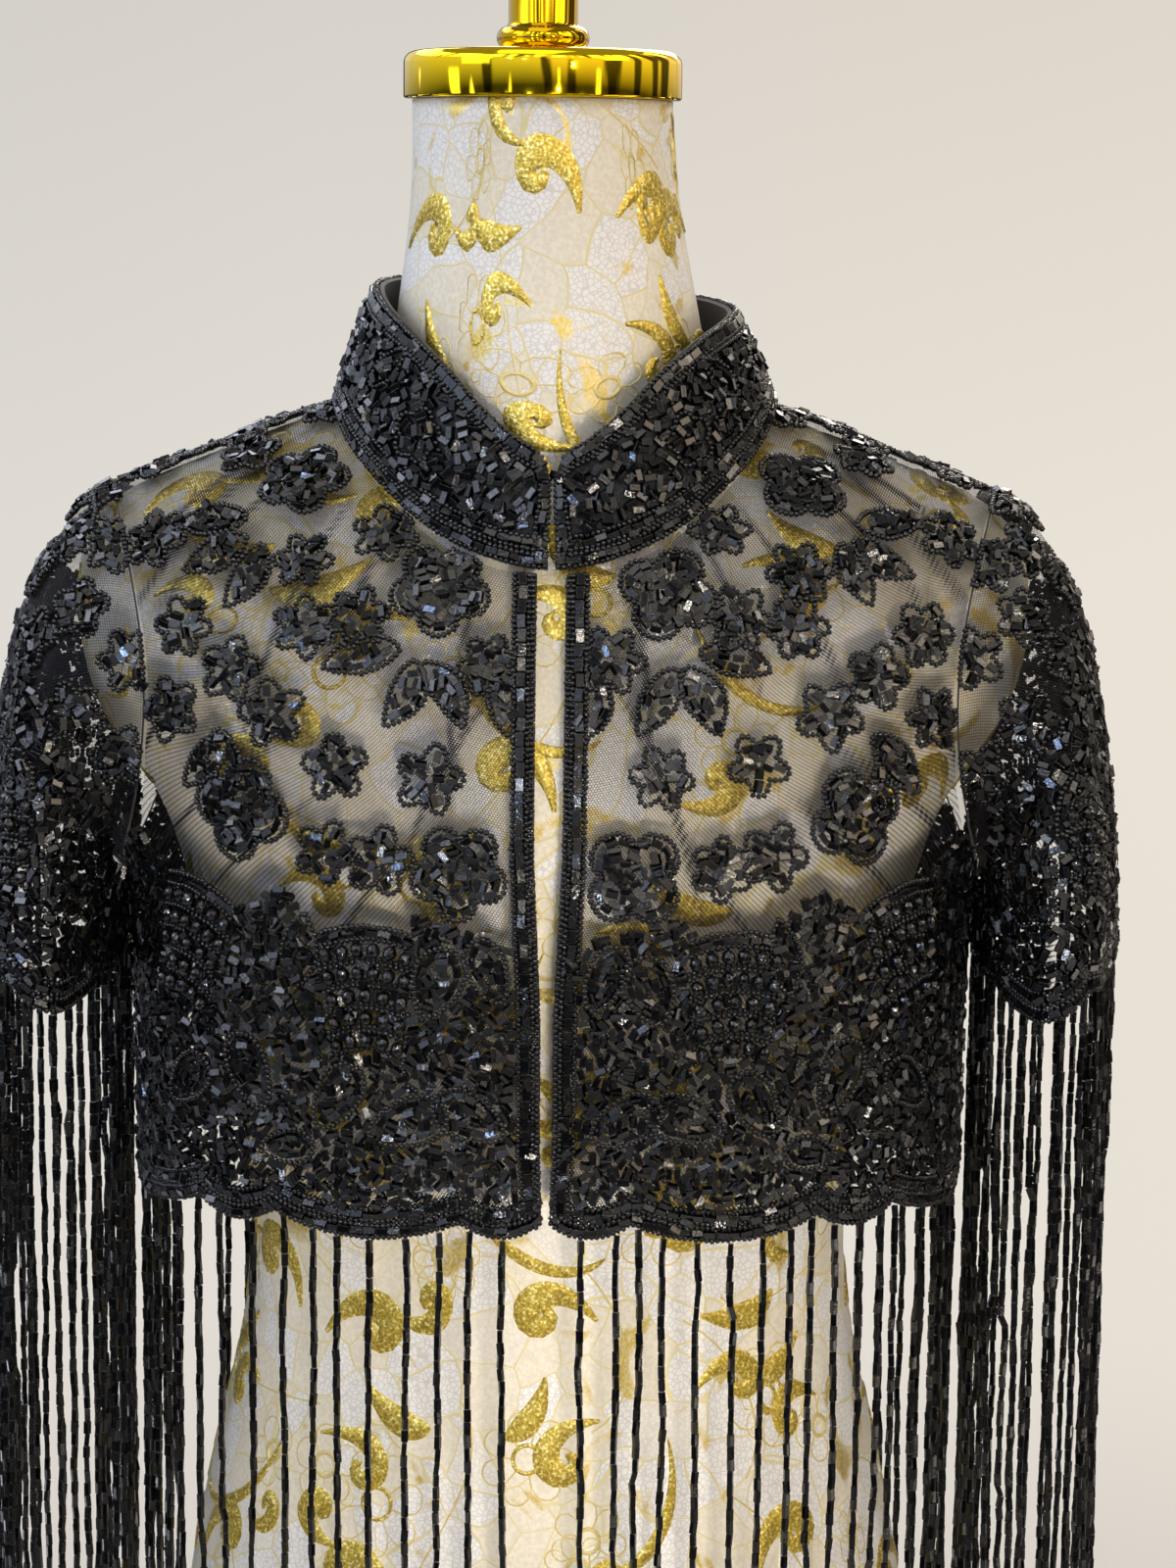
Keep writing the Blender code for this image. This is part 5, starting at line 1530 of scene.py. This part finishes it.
# ---- Fringe ----------------------------------------------------------------------------------------
# Strands of longer bugles threaded on nylon and knotted into the scalloped hems. They hang by their
# own weight, all one length, with small kinks where a bead has caught on its neighbour's cut end.

FRINGE_LENGTH, STRAND_PITCH, KNOT_DROP = 0.40, 0.0056, 0.0010
BODY_SPACING, SLEEVE_SPACING = 0.0136, 0.0120
STRAND_RETURN = 18.0  # how strongly a strand hangs back under its knot


def strand(top, rng):
    """Rows of centre, hole direction and outward direction of one hanging strand."""
    count = int(FRINGE_LENGTH / STRAND_PITCH)
    steps = rng.normal(0, 0.040, (count, 2))
    for _ in range(rng.integers(1, 4)):
        steps[rng.integers(4, count)] += rng.normal(0, 0.15, 2)
    place = np.array(top, float)
    centres, ways = [], []
    for step in steps:
        way = np.array((*(step - STRAND_RETURN * (place[:2] - top[:2])), -1.0))
        way /= np.linalg.norm(way)
        centres.append(place + way * STRAND_PITCH / 2)
        ways.append(way)
        place = place + way * STRAND_PITCH
    centres, ways = np.array(centres), np.array(ways)
    return np.concatenate([centres, ways, np.tile((0.0, -1.0, 0.0), (count, 1))], 1)


def strands_along(hem, spacing, rng, closed=False):
    """The strands of one hem, unevenly spaced round this spacing."""
    line = np.concatenate([hem, hem[:1]]) if closed else hem
    length = line_length(line)
    gaps = spacing * rng.uniform(0.72, 1.35, int(length / spacing) + 4)
    places = np.cumsum(gaps)
    places = places[places < length - 0.4 * spacing]
    return [strand(top - (0, 0, KNOT_DROP), rng) for top in along(line, places)]


for i, name in enumerate(("front_left", "front_right", "back", "sleeve_left", "sleeve_right")):
    rng = np.random.default_rng(200 + i)
    spacing = SLEEVE_SPACING if "sleeve" in name else BODY_SPACING
    rows = strands_along(nets[name].rows[-1], spacing, rng, nets[name].closed)
    beads_made("fringe_beads_" + name, "strand", rows, 300 + i)

# ---- What stands for what, and each cloth's cut ------------------------------------------------------
# Each net stands for its panel, and the beads on it for the panel's bead border and front band. The cut
# sizes are those of the cloth with no seam allowance, and the collar is two layers of it.


def area_of(mesh):
    return sum(polygon.area for polygon in mesh.polygons)


for name, nodes in (
    ("front_left", ("front_left", "front_edge_band_left", "hem_border_front_left")),
    ("front_right", ("front_right", "front_edge_band_right", "hem_border_front_right")),
    ("back", ("back", "hem_border_back")),
    ("sleeve_left", ("sleeve_left", "hem_border_sleeve_left")),
    ("sleeve_right", ("sleeve_right", "hem_border_sleeve_right")),
):
    on_frame(bpy.data.objects["net_" + name], "black_net", nodes[0])
    for extra in nodes[1:]:
        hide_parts(extra)
    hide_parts("fringe_" + name)
on_frame(collar_piece, "black_cloth", "collar")
for side, (points, faces) in seams.items():
    on_frame(mesh_piece("seam_cords_" + side, np.concatenate(points), faces, black_crepe), "black_net")
SHEETS = {
    "front_left": ((0.27, 0.37), "stretched"), "front_right": ((0.27, 0.37), "stretched"),
    "back": ((0.54, 0.36), "stretched"),
    "sleeve_left": ((0.52, 0.20), "hung"), "sleeve_right": ((0.52, 0.20), "hung"),
}  # fmt: skip
for name, (flat, held) in SHEETS.items():
    piece = bpy.data.objects["net_" + name]
    min(area_of(piece.data), flat[0] * flat[1])
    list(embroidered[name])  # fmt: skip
area_of(collar_piece.data) / 2
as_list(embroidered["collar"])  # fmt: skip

# ---- Floor, room and lights --------------------------------------------------------------------------
# A pale room: a wide floor, a warm grey wall all round, a cool window to the left and a warm lamp to
# the right.

WALL_LEFT_HEX, WALL_RIGHT_HEX, FLOOR_HEX = "#DFDBD4", "#EAE2D6", "#F0ECE6"
MIRRORED_LEFT_HEX, MIRRORED_RIGHT_HEX, AIR_HEX = "#DDE3F2", "#FBF0E2", "#E6E4E2"
FLOOR_LEVEL = -0.0005


def wall_colour(tree):
    """The wall's glow, from cool on the left to warm on the right and a little dimmer higher up. Mirrored,
    it also shows the doorways and furniture of the room, as soft dark patches."""
    place = add_node(tree, "TexCoord", output="Object")
    axes = add_node(tree, "SeparateXYZ", {0: place}).node.outputs
    share = add_node(tree, "MapRange", {"From Min": -1.0, "From Max": 1.0, "Value": axes["X"]})
    colour = add_node(
        tree, "Mix", {MIX_A: linear(WALL_LEFT_HEX), MIX_B: linear(WALL_RIGHT_HEX), 0: share}, MIX_COLOUR,
        data_type="RGBA",
    )
    dimmed = add_node(
        tree, "MapRange",
        {"From Min": 0.3, "From Max": 1.25, "To Min": 1.0, "To Max": 0.89, "Value": axes["Z"]},
    )
    tall = add_node(tree, "VectorMath", {1: (1.0, 1.0, 0.12), 0: place}, operation="MULTIPLY")
    things = add_node(tree, "TexNoise", {"Scale": 1.1, "Detail": 1.0, "Vector": tall})
    lit = add_node(
        tree, "MapRange",
        {"From Min": 0.37, "From Max": 0.43, "To Min": 0.08, "To Max": 0.8, "Value": things},
    )
    low = add_node(
        tree, "MapRange",
        {"From Min": 0.3, "From Max": 1.4, "To Min": 0.08, "To Max": 1.35, "Value": axes["Z"]},
    )
    dark = add_node(tree, "Math", {0: lit, 1: low}, operation="MULTIPLY")
    panes = add_node(tree, "MapRange", {"From Min": 0.49, "From Max": 0.53, "Value": things})
    high = add_node(tree, "MapRange", {"From Min": 2.7, "From Max": 3.1, "To Max": 4.5, "Value": axes["Z"]})
    slits = add_node(tree, "MapRange", {"From Min": 0.61, "From Max": 0.63, "Value": things})
    below = add_node(
        tree, "MapRange", {"From Min": 1.15, "From Max": 0.95, "To Max": 3.2, "Value": axes["Z"]}
    )
    bright = add_node(tree, "Math", {0: panes, 1: high, 2: dark}, operation="MULTIPLY_ADD")
    bright = add_node(tree, "Math", {0: slits, 1: below, 2: bright}, operation="MULTIPLY_ADD")
    mirrored = add_node(tree, "LightPath", output="Is Glossy Ray")
    strength = add_node(tree, "Mix", {0: mirrored, 2: dimmed, 3: bright}, data_type="FLOAT")
    in_beads = add_node(
        tree, "Mix", {MIX_A: linear(MIRRORED_LEFT_HEX), MIX_B: linear(MIRRORED_RIGHT_HEX), 0: share},
        MIX_COLOUR, data_type="RGBA",
    )
    shown = add_node(
        tree, "Mix", {0: mirrored, MIX_A: colour, MIX_B: in_beads}, MIX_COLOUR, data_type="RGBA"
    )
    return add_node(tree, "Emission", {"Color": shown, "Strength": strength}), place


def seen_directly(tree):
    """1 for rays that show the room: straight to the camera, mirrored or through glass."""
    light = add_node(tree, "LightPath").node.outputs
    straight = add_node(
        tree, "Math", {0: light["Is Camera Ray"], 1: light["Is Transmission Ray"]}, operation="MAXIMUM"
    )
    return add_node(tree, "Math", {0: straight, 1: light["Is Glossy Ray"]}, operation="MAXIMUM")


# Matt paint: the wall shows its own even colour. The floor takes the object's shadow near its foot and
# turns into the wall's colour further out, with no line between them.
wall_paint, tree, shader = new_material("matt_wall_paint", Base_Color=linear(FLOOR_HEX), Roughness=0.9)
glow, _ = wall_colour(tree)
mixed = add_node(tree, "MixShader", {0: seen_directly(tree), 1: shader.outputs["BSDF"], 2: glow})
fill_inputs(tree, tree.nodes["Material Output"], {"Surface": mixed})

floor_paint, tree, shader = new_material("matt_floor_paint", Base_Color=linear(FLOOR_HEX), Roughness=0.85)
glow, place = wall_colour(tree)
distance = add_node(tree, "VectorMath", {0: place}, "Value", operation="LENGTH")
far = add_node(
    tree, "MapRange", {"From Min": 0.3, "From Max": 1.4, "Value": distance}, interpolation_type="SMOOTHSTEP"
)
far_and_seen = add_node(tree, "Math", {0: far, 1: seen_directly(tree)}, operation="MULTIPLY")
mixed = add_node(tree, "MixShader", {0: far_and_seen, 1: shader.outputs["BSDF"], 2: glow})
fill_inputs(tree, tree.nodes["Material Output"], {"Surface": mixed})

ROOM_RADIUS, ROOM_HEIGHT, ROOM_SIDES = 4.5, 5.0, 96
turn = np.arange(ROOM_SIDES) * 2 * math.pi / ROOM_SIDES
circle = np.stack([ROOM_RADIUS * np.cos(turn), ROOM_RADIUS * np.sin(turn), 0 * turn + FLOOR_LEVEL], 1)
floor = mesh_piece("floor", circle, [tuple(range(ROOM_SIDES))], floor_paint, False)
rows = np.stack([circle, circle + (0, 0, ROOM_HEIGHT)])
faces = grid_faces(2, ROOM_SIDES, closed=True, flipped=True)
wall = mesh_piece("wall", rows.reshape(-1, 3), faces, wall_paint)
wall.visible_diffuse = wall.visible_shadow = False

world = bpy.data.worlds.new("pale_room")
bpy.context.scene.world = world
world.use_nodes = True
air = {"Color": linear(AIR_HEX), "Strength": 0.38}
fill_inputs(world.node_tree, world.node_tree.nodes["Background"], air)

# The last lamps are small and seen only as glints in beads and plate, so they light no cloth.
GLINTS = ("window_pane", "downlight_1", "downlight_2", "downlight_3", "floor_glint_1", "floor_glint_2")
Lamp = namedtuple("Lamp", "name place aim width height power spread colour")
for lamp in (
    Lamp("window", (-1.9, -1.3, 1.9), (0, 0, 0.75), 1.2, 1.7, 13.0, 180, "#D4E2FF"),
    Lamp("warm_lamp", (1.8, -0.9, 1.7), (0, 0, 0.75), 0.9, 0.9, 9, 180, "#FFE6C8"),
    Lamp("ceiling_panel", (-0.2, -0.6, 2.6), (0, 0, 0.8), 1.2, 1.2, 7, 180, "#FFFCF4"),
    Lamp("rear_panel", (0.6, 2.2, 2.0), (0, 0, 0.75), 1.0, 1.0, 14, 180, "#FFF6EC"),
    Lamp("left_fill", (-2.0, 0.3, 1.2), (0, 0, 0.85), 1.0, 1.4, 10, 175, "#E8F1FF"),
    Lamp("right_fill", (2.0, 0.2, 1.1), (0, 0, 0.85), 1.0, 1.4, 4.5, 175, "#FFEBD4"),
    Lamp("low_fill", (0.3, -1.8, 0.10), (0, 0, 0.48), 0.5, 0.5, 1.7, 33, "#FFF3E2"),
    Lamp("window_pane", (-1.0, -2.0, 1.5), (0, 0, 0.75), 0.12, 0.20, 7.0, 180, "#A9C8FF"),
    Lamp("downlight_1", (0.5, -1.8, 2.0), (0, 0, 0.75), 0.07, 0.07, 5.0, 180, "#FFF4E6"),
    Lamp("downlight_2", (-0.5, -2.0, 1.3), (0, 0, 0.75), 0.06, 0.06, 3.5, 180, "#EAF1FF"),
    Lamp("downlight_3", (0.9, -1.9, 1.1), (0, 0, 0.75), 0.06, 0.06, 3.0, 180, "#FFF0DC"),
    Lamp("floor_glint_1", (-0.35, -1.9, 0.45), (0, 0, 0.75), 0.05, 0.05, 2.4, 180, "#DCE9FF"),
    Lamp("floor_glint_2", (0.45, -1.9, 0.60), (0, 0, 0.75), 0.05, 0.05, 2.4, 180, "#FFF6EA"),
):
    data = bpy.data.lights.new(lamp.name, "AREA")
    data.shape, data.size, data.size_y = "RECTANGLE", lamp.width, lamp.height
    data.energy, data.spread, data.color = lamp.power, math.radians(lamp.spread), linear(lamp.colour)[:3]
    made = placed(lamp.name, data)
    made.location = lamp.place
    made.rotation_euler = (Vector(lamp.aim) - Vector(lamp.place)).to_track_quat("-Z", "Y").to_euler()
    made.visible_camera, made.visible_glossy = False, lamp.spread == 180
    made.visible_diffuse = lamp.name not in GLINTS
bpy.context.scene.view_settings.view_transform = "Standard"
